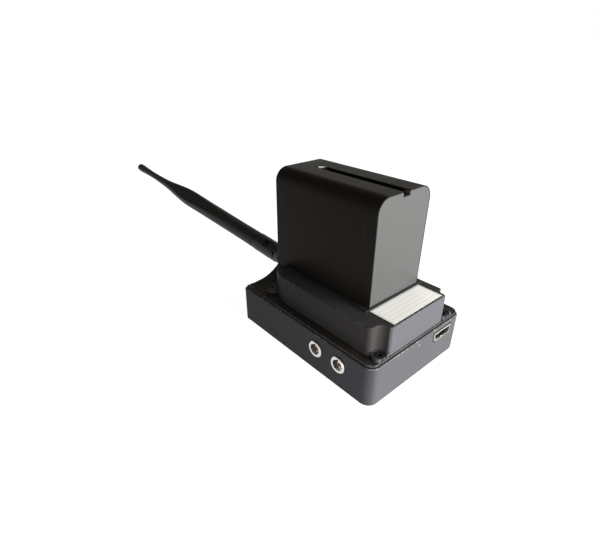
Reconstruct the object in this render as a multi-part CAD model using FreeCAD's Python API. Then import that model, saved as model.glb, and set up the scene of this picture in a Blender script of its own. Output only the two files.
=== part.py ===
import FreeCAD, Part
import math
import os

# Compact wireless video transmitter: a milled aluminium base, a screwed cover with a
# raised block, a slide-on camcorder battery standing in the block, and a hinged whip aerial.
# Millimetres. Origin: centre of the underside of the base. +X: towards the battery's pale
# end and the video socket. -Y: the side with the two round sockets. +Z: up.

V = FreeCAD.Vector
X_AXIS = V(1, 0, 0)
Y_AXIS = V(0, 1, 0)
Z_AXIS = V(0, 0, 1)

# ---------------------------------------------------------------- driving dimensions
# base housing
base_length = 100.0
base_offset = 1.0
base_width = 74.0
base_height = 22.6
base_corner = 5.5
base_left_corner = 1.0
least_corner = 0.5
base_wall = 3.0
base_floor = 2.6
base_edge = 0.6
inner_corner = 2.5

# seam gasket
gasket_thickness = 0.3
gasket_inset = 1.2

# cover plate and its raised block
cover_thickness = 1.0
cover_inset = 1.0
cover_edge = 0.3
border_left = 12.1
border_right = 1.8
border_front = 6.0
border_back = 12.5
block_rise = 15.3
block_corner = 19.0
block_edge = 0.4
block_foot = 0.4
block_wall = 2.2
recess_floor = 1.8

# cover screws, the bosses they sit in, and the scallops that clear their heads
cover_screw_inset_left = 3.4
cover_screw_inset_right = 1.9
cover_screw_inset_front = 3.5
cover_boss_radius = 4.3
cover_boss_rise = 2.0
cover_boss_inset = 1.5
scallop_radius = 3.9
scallop_flat = 0.2
scallop_front_round = 2.6
cover_screw_head = 2.75
cover_screw_head_height = 1.5
cover_screw_shank = 1.5
counterbore_radius = 3.2
counterbore_depth = 1.8
hex_key = 2.0
hex_key_depth = 0.9
post_radius = 4.2
cover_screw_grip = 6.0
thread_gap = 0.05

# small screws along the cover's edge
edge_screw_inset_x = 4.6
edge_screw_inset_y = 2.6
edge_screw_mid_x = -9.7
edge_screw_head = 1.1
edge_screw_head_depth = 0.6
edge_screw_shank = 0.7
edge_screw_length = 6.0
edge_boss = 2.4

# battery
battery_length = 70.8
battery_width = 38.4
battery_height = 60.0
battery_sink = 5.7
battery_overhang = 2.0
battery_top_round = 7.3
battery_end_round = 1.0
battery_wall = 0.8
battery_end_wall = 1.2
battery_bottom_wall = 3.8
cap_rim = 0.5
cap_thickness = 2.6
groove_width = 5.0
groove_depth = 2.6
groove_start = 17.0
cell_side_gap = 0.3
cell_gap = 0.1
tab_thickness = 0.25
tab_width = 7.0
protection_board_thickness = 0.8
protection_board_gap = 0.5

# rails that hold the battery, and its terminals
rail_height = 1.8
rail_reach = 1.3
rail_gap = 0.4
rail_above_bottom = 1.4
rail_start = 20.0
rail_end = 6.8
terminal_pin = 0.6
terminal_pitch = 4.5
terminal_bore_gap = 0.1
terminal_wall = 0.4
terminal_pin_reach = 2.4
terminal_pin_bend = 1.0
terminal_block_width = 13.0
terminal_block_depth = 2.8
terminal_block_height = 3.4
terminal_housing_depth = 6.0

# battery plate
plate_width = 45.0
plate_depth = 8.0
plate_proud = 0.8
plate_gap = 0.1
battery_side_gap = 0.3
battery_end_gap = 0.3
battery_seat_gap = 0.3
plate_end_wall = 0.8
ramp_length = 9.5
ramp_drop = 5.4
plate_screw_spacing_x = 50.0
plate_screw_spacing_y = 24.0
plate_screw_head = 2.2
plate_screw_head_height = 1.2
plate_screw_shank = 1.2
plate_screw_length = 4.4

# label plate
label_width = 39.0
label_thickness = 0.25
label_gap = 0.4
label_offset_y = -1.1
label_corner = 0.6

# round push-pull sockets on the front
socket_end_inset = 20.6
socket_spacing = 16.0
socket_height = 14.1
socket_count = 2
socket_flange = 4.5
socket_flange_thickness = 0.8
socket_barrel = 3.9
socket_bore = 3.0
socket_bore_depth = 4.0
socket_bore_step = 0.3
socket_length = 14.0
socket_fit = 0.1
socket_key_width = 1.2
socket_key_depth = 0.6
socket_nut = 5.4
socket_nut_thickness = 2.0
socket_contact = 0.5
socket_contact_bore = 0.3
socket_contact_circle = 1.6
socket_contact_count = 4
socket_tail = 3.0

# video socket at the +X end
video_side_inset = 17.5
video_rim_inset = 2.4
video_width = 15.2
video_height = 5.9
video_depth = 12.0
video_shell = 0.5
video_bevel = 2.0
video_clearance = 0.5
video_proud = 0.3
tongue_width = 11.6
tongue_thickness = 1.6
tongue_length = 8.5
contact_count = 9
contact_width = 0.5
contact_thickness = 0.15

# status light
light_offset_y = -1.7
light_rim_inset = 2.4
light_radius = 0.7
light_length = 5.0

# main board and what stands on it
board_thickness = 1.6
board_margin = 1.5
board_front_inset = 19.5
board_left_inset = 8.0
standoff_radius = 2.6
standoff_inset = 5.0
standoff_post_gap = 2.0
standoff_back_x = 18.0
board_screw_head = 2.2
board_screw_head_height = 1.6
board_screw_shank = 1.2
board_screw_length = 7.0
processor_size = 16.0
processor_height = 1.6
processor_x = 9.0
processor_y = 3.0
heatsink_base = 1.2
heatsink_height = 6.0
heatsink_fins = 7
heatsink_fin_thickness = 0.9
memory_length = 10.0
memory_width = 7.0
memory_height = 1.1
memory_gap = 2.0
memory_x = 8.0
memory_inset = 1.0
radio_length = 26.0
radio_width = 23.0
radio_board_thickness = 1.0
radio_y = 5.5
shield_height = 3.4
shield_wall = 0.3
shield_margin = 1.6
plug_inset = 2.5
plug_radius = 1.5
plug_height = 2.0
plug_clearance = 1.0
amplifier_length = 26.0
amplifier_width = 20.0
amplifier_height = 6.0
amplifier_x = -18.0
amplifier_y = 6.0
pad_thickness = 0.8
inductor_size = 6.0
inductor_height = 4.5
inductor_spacing = 8.5
inductor_x = -15.0
inductor_inset = 4.2
capacitor_radius = 3.0
capacitor_height = 6.5
capacitor_spacing = 8.0
capacitor_x = -2.0
capacitor_inset = 6.5
header_width = 14.0
header_depth = 5.0
header_wall_gap = 0.4

# aerial socket on the cover's -X end
jack_offset_y = 3.0
jack_above_cover = 2.4
jack_thread = 3.1
jack_outer_length = 7.4
jack_inner_length = 7.0
jack_flange_half = 4.0
jack_flange_thickness = 1.4
jack_bore = 2.3
jack_core = 0.6
jack_fit = 0.1
jack_boss_clearance = 1.0
jack_boss_half_width = 13.0
jack_face_inset = 0.5
jack_boss_flare = 24.0
jack_boss_round = 4.0
jack_wall = 3.0
jack_washer = 3.7
jack_washer_thickness = 0.4
jack_nut_flats = 8.0
jack_nut_thickness = 2.2

# semi-rigid coax from the jack to the radio module
feed_coax_radius = 0.6
feed_coax_bend = 6.0
feed_coax_run = 5.0

# hinged whip aerial
collar_flats = 10.6
collar_length = 8.4
collar_bevel = 0.5
collar_gap = 0.3
collar_wall_gap = 0.08
stem_radius = 2.2
stem_flange = 2.7
stem_flange_thickness = 1.6
elbow_radius = 6.3
hinge_from_wall = 23.3
tongue_half = 2.4
fork_gap = 0.3
hinge_pin_radius = 1.3
hinge_fit = 0.05
knuckle_radius = 6.1
shoulder_gap = 1.1
whip_length = 173.0
whip_tilt = 12.25
whip_swivel = 35.3
fork_length = 17.8
ring_depth = 0.6
ring_width = 2.8
whip_foot_radius = 6.0
whip_waist_radius = 5.95
whip_swell_radius = 6.35
whip_neck_radius = 2.52
whip_tip_radius = 3.0
waist_at = 36.0
swell_at = 98.0
neck_from_end = 28.5
tip_from_end = 7.0
body_steps = ((0.40, 0.38), (0.78, 0.86))
taper_steps = ((0.14, 0.88), (0.27, 0.72), (0.40, 0.53), (0.53, 0.33), (0.78, 0.10))
blade_from = 40.0
blade_from_end = 38.0
blade_end_half = 2.9
whip_bore = 2.4
whip_bore_start = 12.0
whip_bore_end = 112.0
radiator_radius = 1.9
radiator_gap = 2.0
feed_radius = 0.9

# ---------------------------------------------------------------- levels and places
overlap = 1.0
base_left = -base_length / 2 - base_offset
base_right = base_length / 2 - base_offset
base_front = -base_width / 2
base_back = base_width / 2
cover_bottom = base_height + gasket_thickness
cover_top = cover_bottom + cover_thickness
block_top = cover_top + block_rise
block_left = base_left + border_left
block_right = base_right - border_right
block_front = base_front + border_front
block_back = base_back - border_back
screw_left = block_left + cover_screw_inset_left
screw_right = block_right - cover_screw_inset_right
screw_front = block_front + cover_screw_inset_front
screw_back = block_back
cover_boss_top = cover_top + cover_boss_rise
cover_screw_places = [(x, y) for x in (screw_left, screw_right) for y in (screw_front, screw_back)]
edge_screw_xs = (base_left + edge_screw_inset_x, edge_screw_mid_x, base_right - edge_screw_inset_x)
edge_screw_ys = (base_front + edge_screw_inset_y, base_back - edge_screw_inset_y)
edge_screw_places = [(x, y) for x in edge_screw_xs for y in edge_screw_ys]

battery_left = block_left - battery_overhang
battery_right = battery_left + battery_length
battery_bottom = block_top - battery_sink
battery_top = battery_bottom + battery_height
cap_inner = battery_right - cap_thickness
case_floor = battery_bottom + battery_bottom_wall

plate_bottom = block_top - plate_depth
plate_top = block_top + plate_proud
plate_floor_top = battery_bottom - battery_seat_gap
plate_left = block_left
well_right = battery_right + battery_end_gap
plate_right = well_right + plate_end_wall
recess_bottom = plate_bottom - recess_floor
plate_screw_seat = plate_floor_top - plate_screw_head_height
plate_screw_tip = plate_screw_seat - plate_screw_length
rail_bottom = battery_bottom + rail_above_bottom
terminal_height = battery_bottom + terminal_block_height / 2
terminal_leg_x = well_right - terminal_block_depth / 2
terminal_ys = [terminal_pitch * step for step in (-1, 0, 1)]
plate_screw_x = (plate_left + well_right) / 2
plate_screw_places = [
    (plate_screw_x + sx * plate_screw_spacing_x / 2, sy * plate_screw_spacing_y / 2)
    for sx in (-1, 1) for sy in (-1, 1)
]

video_top = base_height - video_rim_inset
video_bottom = video_top - video_height
video_offset_y = base_back - video_side_inset
ledge_bottom = video_top + video_clearance
light_height = base_height - light_rim_inset

board_top = video_bottom
board_bottom = board_top - board_thickness
board_left_edge = base_left + board_left_inset
board_front_edge = base_front + board_front_inset
board_right = base_right - base_wall - board_margin
board_back = base_back - base_wall - board_margin
standoff_places = [
    (board_left_edge + standoff_inset, board_front_edge + standoff_inset),
    (screw_left + post_radius + standoff_radius + standoff_post_gap, board_back - standoff_inset),
    (board_right - standoff_inset, board_front_edge + standoff_inset),
    (standoff_back_x, board_back - standoff_inset),
]

jack_face = base_left + jack_face_inset
jack_height = cover_top + jack_above_cover
jack_boss_crown = battery_bottom - jack_boss_clearance
jack_inner_wall = jack_face + jack_wall
hinge_x = jack_face - hinge_from_wall
washer_face = jack_face - jack_washer_thickness
nut_face = washer_face - jack_nut_thickness
jack_tip = jack_face - jack_outer_length
collar_right = nut_face - collar_gap
collar_left = collar_right - collar_length
hinge_point = V(hinge_x, jack_offset_y, jack_height)
plug_x = jack_inner_wall + jack_inner_length + feed_coax_run + feed_coax_bend
radio_top = board_top + radio_board_thickness
radio_left = plug_x - plug_inset
radio_right = radio_left + radio_length
neck_at = whip_length - neck_from_end


# ---------------------------------------------------------------- small shape helpers
def box(x0, x1, y0, y1, z0, z1):
    return Part.makeBox(x1 - x0, y1 - y0, z1 - z0, V(x0, y0, z0))


def rod(radius, start, end):
    path = end - start
    return Part.makeCylinder(radius, path.Length, start, path)


def bent_rod(radius, start, end, bend):
    """A round rod that runs level along +X from start, bends once and drops to end."""
    arc_start = V(end.x - bend, start.y, start.z)
    arc_end = V(end.x, start.y, start.z - bend)
    middle = V(arc_start.x + bend * math.sin(math.pi / 4), start.y,
               arc_end.z + bend * math.cos(math.pi / 4))
    path = Part.Wire([
        Part.LineSegment(start, arc_start).toShape(),
        Part.Arc(arc_start, middle, arc_end).toShape(),
        Part.LineSegment(arc_end, end).toShape(),
    ])
    ring = Part.Wire(Part.makeCircle(radius, start, X_AXIS))
    bar = path.makePipeShell([ring], True, False)
    expected = path.Length * math.pi * radius ** 2
    print(f"bent rod: radius {radius:.2f}, bend {bend:.2f}, volume {bar.Volume:.3f} of {expected:.3f}")
    return bar


def rod_x(radius, x0, x1, y, z):
    return rod(radius, V(x0, y, z), V(x1, y, z))


def rod_y(radius, y0, y1, x, z):
    return rod(radius, V(x, y0, z), V(x, y1, z))


def rod_z(radius, z0, z1, x, y):
    return rod(radius, V(x, y, z0), V(x, y, z1))


def hexagon(flats, start, end):
    """A six-sided bar from start to end; flats is the distance across its flats."""
    path = end - start
    first = Z_AXIS if abs(path.z) < 0.5 * path.Length else X_AXIS
    side = path.cross(first).normalize()
    corner = flats / math.sqrt(3)
    points = []
    for step in range(7):
        angle = math.radians(60 * step + 30)
        points.append(start + first * (corner * math.cos(angle)) + side * (corner * math.sin(angle)))
    return Part.Face(Part.makePolygon(points)).extrude(path)


def edges_at(shape, test):
    return [edge for edge in shape.Edges if test(edge.BoundBox)]


def is_upright(bounds):
    return bounds.XLength < 1e-4 and bounds.YLength < 1e-4 and bounds.ZLength > 1e-3


def round_upright(shape, radius):
    return shape.makeFillet(radius, edges_at(shape, is_upright))


def rounded_box(x0, x1, y0, y1, z0, z1, radius):
    return round_upright(box(x0, x1, y0, y1, z0, z1), radius)


def rounded_case(inset, z0, z1):
    """A block in the base's outline, inset by some length; its -X corners are tighter."""
    left, right = base_left + inset, base_right - inset
    case = box(left, right, base_front + inset, base_back - inset, z0, z1)
    middle = (left + right) / 2
    case = case.makeFillet(max(base_left_corner - inset, least_corner), edges_at(case, lambda b: is_upright(b) and b.XMax < middle))
    return case.makeFillet(base_corner - inset, edges_at(case, lambda b: is_upright(b) and b.XMin > middle and b.YMin * b.YMax > 0 and b.XMin > right - 1e-3))


def level_edges(shape, height):
    return edges_at(shape, lambda b: abs(b.ZMin - height) < 1e-4 and abs(b.ZMax - height) < 1e-4)


def fuse_all(shapes):
    return shapes[0].fuse(shapes[1:]).removeSplitter()


def group(shapes):
    return Part.makeCompound(shapes)


# ---------------------------------------------------------------- base housing
def video_outline(grow, x0, x1):
    """The video socket's six-sided outline: square top corners, bevelled bottom ones."""
    half = video_width / 2 + grow
    bottom = video_bottom - grow
    top = video_top + grow
    bevel = video_bevel
    profile = [
        (-half, top), (half, top), (half, bottom + bevel), (half - bevel, bottom),
        (bevel - half, bottom), (-half, bottom + bevel), (-half, top),
    ]
    points = [V(x0, video_offset_y + y, z) for y, z in profile]
    return Part.Face(Part.makePolygon(points)).extrude(V(x1 - x0, 0, 0))


def socket_xs():
    last = base_right - socket_end_inset
    return [last - socket_spacing * step for step in reversed(range(socket_count))]


def base_cavity(z0, z1):
    return rounded_box(base_left + base_wall, base_right - base_wall,
                       base_front + base_wall, base_back - base_wall, z0, z1, inner_corner)


def above_video_socket(x, y):
    over_length = x + post_radius > base_right - video_depth
    return over_length and abs(y - video_offset_y) < video_width / 2 + post_radius


def cover_screw_tip(x, y):
    if above_video_socket(x, y):
        return ledge_bottom + thread_gap
    return base_height - cover_screw_grip


def base_supports():
    """Posts, ledge, edge bosses and board standoffs, trimmed to stay inside the walls."""
    supports = []
    for x, y in cover_screw_places:
        if above_video_socket(x, y):
            supports.append(box(x - post_radius, base_right, y - post_radius, y + post_radius,
                                ledge_bottom, base_height))
        else:
            supports.append(rod_z(post_radius, base_floor - overlap, base_height, x, y))
    for x, y in edge_screw_places:
        supports.append(rod_z(edge_boss, base_height - edge_screw_length - overlap, base_height, x, y))
    for x, y in standoff_places:
        supports.append(rod_z(standoff_radius, base_floor - overlap, board_bottom, x, y))
    inside = rounded_case(base_edge, base_floor - overlap, base_height)
    return fuse_all(supports).common(inside)


def base_housing():
    shell = rounded_case(0, 0, base_height)
    rims = level_edges(shell, 0) + level_edges(shell, base_height)
    shell = shell.makeChamfer(base_edge, rims)
    shell = shell.cut(base_cavity(base_floor, base_height + overlap))
    shell = shell.fuse(base_supports()).removeSplitter()
    holes = []
    for x, y in cover_screw_places:
        holes.append(rod_z(cover_screw_shank + thread_gap, cover_screw_tip(x, y) - thread_gap,
                           base_height + overlap, x, y))
    for x, y in edge_screw_places:
        holes.append(rod_z(edge_screw_shank + thread_gap, base_height - edge_screw_length,
                           base_height + overlap, x, y))
    for x, y in standoff_places:
        holes.append(rod_z(board_screw_shank + thread_gap, board_bottom - board_screw_length,
                           board_bottom + overlap, x, y))
    for x in socket_xs():
        holes.append(rod_y(socket_barrel + socket_fit, base_front - overlap,
                           base_front + base_wall + overlap, x, socket_height))
    holes.append(video_outline(video_clearance, base_right - base_wall - overlap, base_right + overlap))
    holes.append(rod_x(light_radius + socket_fit, base_right - base_wall - overlap,
                       base_right + overlap, light_offset_y, light_height))
    return shell.cut(holes)


def cover_gasket():
    sheet = rounded_case(gasket_inset, base_height, cover_bottom)
    ring = sheet.cut(base_cavity(base_height - overlap, cover_bottom + overlap))
    discs = [rod_z(edge_boss, base_height, cover_bottom, x, y) for x, y in edge_screw_places]
    discs += [rod_z(post_radius, base_height, cover_bottom, x, y) for x, y in cover_screw_places]
    ring = ring.fuse(fuse_all(discs).common(sheet)).removeSplitter()
    holes = [rod_z(edge_screw_shank + thread_gap, base_height - overlap, cover_bottom + overlap, x, y)
             for x, y in edge_screw_places]
    holes += [rod_z(cover_screw_shank + thread_gap, base_height - overlap, cover_bottom + overlap, x, y)
              for x, y in cover_screw_places]
    return ring.cut(holes)


# ---------------------------------------------------------------- cover
def scallop_cutter(x, y):
    """Pocket that opens to the block's corner and clears a cover screw's head."""
    end_side = 1 if x > (block_left + block_right) / 2 else -1
    long_side = 1 if y > (block_front + block_back) / 2 else -1
    reach = base_width
    low = cover_top
    high = block_top + overlap
    near_x = x - end_side * scallop_radius
    near_y = y - long_side * scallop_radius
    far_x = x + end_side * reach
    far_y = y + long_side * reach
    outward = box(min(near_x, far_x), max(near_x, far_x), min(y, far_y), max(y, far_y), low, high)
    endward = box(min(x, far_x), max(x, far_x), min(near_y, far_y), max(near_y, far_y), low, high)
    return rod_z(scallop_radius, low, high, x, y).fuse([outward, endward]).removeSplitter()


def block_outline(inset, z0, z1):
    """The raised block's outline: broad rounded corners at -X, where no scallop is needed."""
    outline = box(block_left + inset, block_right - inset, block_front + inset, block_back - inset,
                  z0, z1)
    broad = edges_at(outline, lambda b: is_upright(b) and b.XMax < screw_right)
    return outline.makeFillet(block_corner - inset, broad)


def block_shape():
    block = block_outline(0, cover_top, block_top)
    for x, y in cover_screw_places:
        if x > screw_left:
            block = block.cut(scallop_cutter(x, y))
    middle = (block_left + block_right) / 2

    def on_front_face(b):
        return is_upright(b) and b.XMin > middle and abs(b.YMin - block_front) < 1e-4

    def on_end_face(b):
        return is_upright(b) and abs(b.XMin - block_right) < 1e-4

    block = block.makeFillet(scallop_front_round, edges_at(block, on_front_face))
    return block.makeFillet(cover_screw_inset_right - scallop_flat, edges_at(block, on_end_face))


def cover_bosses():
    """Short round bosses on the cover plate, one under each cover screw."""
    low = cover_bottom + cover_thickness / 2
    within = rounded_case(cover_boss_inset, low, cover_boss_top)
    return [rod_z(cover_boss_radius, low, cover_boss_top, x, y).common(within)
            for x, y in cover_screw_places]


def jack_boss():
    """Ridge on the cover's -X border that carries the aerial socket, swept up from the plate."""
    crown = jack_boss_crown
    rise = crown - cover_top
    run = math.sqrt(2 * jack_boss_flare * rise - rise ** 2)
    half = jack_boss_half_width
    middle_run = jack_boss_flare * math.sin(math.asin(run / jack_boss_flare) / 2)
    middle_rise = jack_boss_flare - math.sqrt(jack_boss_flare ** 2 - middle_run ** 2)

    def point(side, reach, z):
        return V(jack_face, jack_offset_y + side * reach, z)

    low = cover_bottom + cover_thickness / 2
    edges = [Part.LineSegment(point(-1, half, crown), point(1, half, crown)).toShape()]
    for side in (1, -1):
        foot = point(side, half + run, cover_top)
        middle = point(side, half + run - middle_run, cover_top + middle_rise)
        edges.append(Part.Arc(point(side, half, crown), middle, foot).toShape())
        edges.append(Part.LineSegment(foot, point(side, half + run, low)).toShape())
    edges.append(Part.LineSegment(point(-1, half + run, low), point(1, half + run, low)).toShape())
    face = Part.Face(Part.Wire(Part.__sortEdges__(edges)))
    ridge = face.extrude(V(block_left + block_corner - jack_face, 0, 0))
    shoulders = edges_at(ridge, lambda b: b.XLength > overlap and abs(b.ZMin - crown) < 1e-4)
    ridge = ridge.makeFillet(jack_boss_round, shoulders)
    pad = box(jack_face, base_left + 2 * cover_inset, jack_offset_y - half, jack_offset_y + half,
              cover_bottom, block_top)
    within = rounded_case(cover_inset, cover_bottom, block_top).fuse(pad).removeSplitter()
    spare = [rod_z(scallop_radius, cover_boss_top, block_top, x, y) for x, y in cover_screw_places]
    spare.append(box(screw_left - cover_boss_radius - jack_fit, base_right, block_back, base_back,
                     cover_top, block_top))
    return ridge.common(within).cut(spare)


def block_cavity():
    left = block_left + block_wall
    right = block_right - block_wall
    front = block_front + block_wall
    back = block_back - block_wall
    pocket = scallop_radius + block_wall
    wide = box(screw_left + pocket, screw_right - pocket, front, back,
               cover_bottom - overlap, recess_bottom)
    long_part = box(left, right, screw_front + pocket, screw_back - pocket,
                    cover_bottom - overlap, recess_bottom)
    hollow = wide.fuse(long_part).removeSplitter()
    hollow = hollow.common(block_outline(block_wall, cover_bottom - overlap, block_top))
    channel = box(jack_inner_wall, left + overlap, jack_offset_y - jack_flange_half - jack_fit,
                  jack_offset_y + jack_flange_half + jack_fit, cover_bottom - overlap,
                  jack_height + jack_flange_half + jack_fit)
    return hollow.fuse(channel).removeSplitter()


def top_cover():
    sheet = rounded_case(cover_inset, cover_bottom, cover_top)
    sheet = sheet.makeChamfer(cover_edge, level_edges(sheet, cover_top))
    cover = sheet.fuse(block_shape()).removeSplitter()

    def is_block_foot(b):
        level = abs(b.ZMin - cover_top) < 1e-4 and abs(b.ZMax - cover_top) < 1e-4
        along_x = b.XMin > block_left - 1e-3 and b.XMax < block_right + 1e-3
        return level and along_x and b.YMin > block_front - 1e-3 and b.YMax < block_back + 1e-3

    cover = cover.makeFillet(block_foot, edges_at(cover, is_block_foot))
    cover = cover.makeChamfer(block_edge, level_edges(cover, block_top))
    cover = cover.fuse([jack_boss()] + cover_bosses()).removeSplitter()
    cuts = [block_cavity()]
    cuts.append(box(plate_left - overlap, plate_right + plate_gap, -plate_width / 2 - plate_gap,
                    plate_width / 2 + plate_gap, plate_bottom, block_top + overlap))
    for x, y in cover_screw_places:
        cuts.append(rod_z(counterbore_radius, cover_boss_top - counterbore_depth,
                          cover_boss_top + overlap, x, y))
        cuts.append(rod_z(cover_screw_shank + thread_gap, cover_bottom - overlap, cover_boss_top, x, y))
    for x, y in edge_screw_places:
        cuts.append(rod_z(edge_screw_head + thread_gap, cover_top - edge_screw_head_depth,
                          cover_top + overlap, x, y))
        cuts.append(rod_z(edge_screw_shank + thread_gap, cover_bottom - overlap, cover_top, x, y))
    for x, y in plate_screw_places:
        cuts.append(rod_z(plate_screw_shank + thread_gap, plate_screw_tip - thread_gap,
                          plate_bottom + overlap, x, y))
    slot_half = terminal_pitch + terminal_pin + header_wall_gap
    cuts.append(box(terminal_leg_x - terminal_pin - header_wall_gap,
                    terminal_leg_x + terminal_pin + header_wall_gap,
                    -slot_half, slot_half, recess_bottom - overlap, plate_bottom + overlap))
    cuts.append(rod_x(jack_thread + jack_fit, jack_face - overlap, jack_inner_wall + overlap,
                      jack_offset_y, jack_height))
    return cover.cut(cuts)


def cap_screw(x, y, seat, head, head_height, shank, tip, key, key_depth):
    """Socket-head screw standing head up, its head resting on the seat height."""
    top = seat + head_height
    body = rod_z(head, seat, top, x, y).fuse(rod_z(shank, tip, seat, x, y)).removeSplitter()
    rim = edges_at(body, lambda b: abs(b.ZMin - top) < 1e-4 and abs(b.ZMax - top) < 1e-4)
    body = body.makeChamfer(head * 0.12, rim)
    return body.cut(hexagon(key, V(x, y, top - key_depth), V(x, y, top + overlap)))


def cover_screws():
    seat = cover_boss_top - counterbore_depth
    return group([cap_screw(x, y, seat, cover_screw_head, cover_screw_head_height,
                            cover_screw_shank, cover_screw_tip(x, y), hex_key, hex_key_depth)
                  for x, y in cover_screw_places])


def edge_screws():
    seat = cover_top - edge_screw_head_depth
    tip = base_height - edge_screw_length + thread_gap
    depth = edge_screw_head_depth / 2
    return group([cap_screw(x, y, seat, edge_screw_head, edge_screw_head_depth - thread_gap,
                            edge_screw_shank, tip, edge_screw_head, depth)
                  for x, y in edge_screw_places])


def label_plate():
    return rounded_box(plate_right + label_gap, block_right - label_gap,
                       label_offset_y - label_width / 2, label_offset_y + label_width / 2,
                       block_top, block_top + label_thickness, label_corner)


# ---------------------------------------------------------------- battery plate
def battery_plate():
    half = plate_width / 2
    well_half = battery_width / 2 + battery_side_gap
    plate = box(plate_left, plate_right, -half, half, plate_bottom, plate_top)
    plate = plate.cut(box(plate_left - overlap, well_right, -well_half, well_half,
                          plate_floor_top, plate_top + overlap))
    ramp = Part.Face(Part.makePolygon([
        V(plate_left - overlap, -half - overlap, plate_top + overlap),
        V(plate_left - overlap, -half - overlap, plate_top - ramp_drop),
        V(plate_left, -half - overlap, plate_top - ramp_drop),
        V(plate_left + ramp_length, -half - overlap, plate_top),
        V(plate_left + ramp_length, -half - overlap, plate_top + overlap),
        V(plate_left - overlap, -half - overlap, plate_top + overlap),
    ])).extrude(V(0, plate_width + 2 * overlap, 0))
    plate = plate.cut(ramp)
    rails = []
    for side in (-1, 1):
        inner = side * (battery_width / 2 - rail_reach)
        outer = side * half
        rails.append(box(battery_left + rail_start, battery_right - rail_end, min(inner, outer),
                         max(inner, outer), rail_bottom, rail_bottom + rail_height))
    plate = plate.fuse(rails).removeSplitter()
    plate = plate.common(block_outline(0, plate_bottom, plate_top))
    cuts = []
    for x, y in plate_screw_places:
        cuts.append(rod_z(plate_screw_head + thread_gap, plate_screw_seat,
                          plate_floor_top + overlap, x, y))
        cuts.append(rod_z(plate_screw_shank + thread_gap, plate_bottom - overlap,
                          plate_floor_top + overlap, x, y))
    for y in terminal_ys:
        cuts.append(rod_z(terminal_pin + thread_gap, plate_bottom - overlap,
                          plate_floor_top + overlap, terminal_leg_x, y))
    return plate.cut(cuts)


def plate_screws():
    height = plate_screw_head_height - thread_gap
    return group([cap_screw(x, y, plate_screw_seat, plate_screw_head, height,
                            plate_screw_shank, plate_screw_tip, hex_key,
                            plate_screw_head_height / 2)
                  for x, y in plate_screw_places])


def terminal_pin_shape(y, grow):
    """One bent contact: a level leg towards the battery and an upright leg to the board."""
    tip = V(well_right - terminal_block_depth - terminal_pin_reach, y, terminal_height)
    foot = V(terminal_leg_x, y, board_top + terminal_pin)
    return bent_rod(terminal_pin + grow, tip, foot, terminal_pin_bend)


def terminal_block():
    half = terminal_block_width / 2
    block = box(well_right - terminal_block_depth, well_right, -half, half,
                plate_floor_top, plate_floor_top + terminal_block_height)
    return block.cut([terminal_pin_shape(y, thread_gap) for y in terminal_ys])


def terminal_pins():
    return group([terminal_pin_shape(y, 0) for y in terminal_ys])


# ---------------------------------------------------------------- battery
def battery_outline(inset, x0, x1, bottom):
    """The battery's section carried from x0 to x1: square at the bottom, round at the top."""
    half = battery_width / 2 - inset
    body = box(x0, x1, -half, half, bottom, battery_top - inset)

    def is_top_side(b):
        return (b.XLength > 1e-3 and b.YLength < 1e-4 and b.ZLength < 1e-4
                and abs(b.ZMin - battery_top + inset) < 1e-4)

    return body.makeFillet(battery_top_round - inset, edges_at(body, is_top_side))


def top_groove(grow, x1):
    start = battery_left + groove_start
    half = groove_width / 2 + grow
    depth = groove_depth + grow
    trench = box(start - grow, x1, -half, half, battery_top - depth, battery_top + overlap)
    ends = edges_at(trench, lambda b: is_upright(b) and abs(b.XMin - start + grow) < 1e-4)
    return trench.makeFillet(groove_width / 3, ends)


def terminal_housing_space(grow):
    half = terminal_block_width / 2 + battery_side_gap + terminal_wall + grow
    return box(battery_right - terminal_housing_depth - grow, battery_right + overlap, -half, half,
               battery_bottom - overlap, case_floor)


def battery_case():
    case = battery_outline(0, battery_left, battery_right, battery_bottom)
    left_rim = edges_at(case, lambda b: b.XMax < battery_left + 1e-4)
    case = case.makeFillet(battery_end_round, left_rim)
    hollow = battery_outline(battery_wall, battery_left + battery_end_wall, cap_inner + overlap, case_floor)
    hollow = hollow.cut(top_groove(battery_wall, battery_right + overlap))
    cuts = [hollow, top_groove(0, battery_right + overlap)]
    cuts.append(battery_outline(cap_rim, cap_inner, battery_right + overlap, battery_bottom + cap_rim))
    cuts.append(terminal_housing_space(thread_gap))
    for side in (-1, 1):
        inner = side * (battery_width / 2 - rail_reach - rail_gap)
        outer = side * (battery_width / 2 + overlap)
        cuts.append(box(battery_left - overlap, battery_right + overlap, min(inner, outer),
                        max(inner, outer), rail_bottom - rail_gap, rail_bottom + rail_height + rail_gap))
    return case.cut(cuts)


def battery_end_cap():
    inset = cap_rim + thread_gap
    cap = battery_outline(inset, cap_inner, battery_right, battery_bottom + inset)
    housing = terminal_housing_space(0).common(
        box(battery_left, battery_right, -battery_width, battery_width, battery_bottom, case_floor))
    cap = cap.fuse(housing).removeSplitter()
    half = terminal_block_width / 2 + battery_side_gap
    notch_x = well_right - terminal_block_depth - battery_end_gap
    cuts = [box(notch_x, battery_right + overlap, -half, half, battery_bottom - overlap,
                plate_floor_top + terminal_block_height + battery_side_gap)]
    cuts.append(top_groove(0, battery_right + overlap))
    for side in (-1, 1):
        inner = side * (battery_width / 2 - rail_reach - rail_gap)
        outer = side * (battery_width / 2 + overlap)
        cuts.append(box(cap_inner - overlap, battery_right + overlap, min(inner, outer),
                        max(inner, outer), rail_bottom - rail_gap, rail_bottom + rail_height + rail_gap))
    outer_radius = terminal_pin + terminal_bore_gap + terminal_wall
    for y in terminal_ys:
        cuts.append(rod_x(outer_radius, battery_right - terminal_housing_depth + terminal_wall,
                          battery_right, y, terminal_height))
    return cap.cut(cuts)


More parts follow.
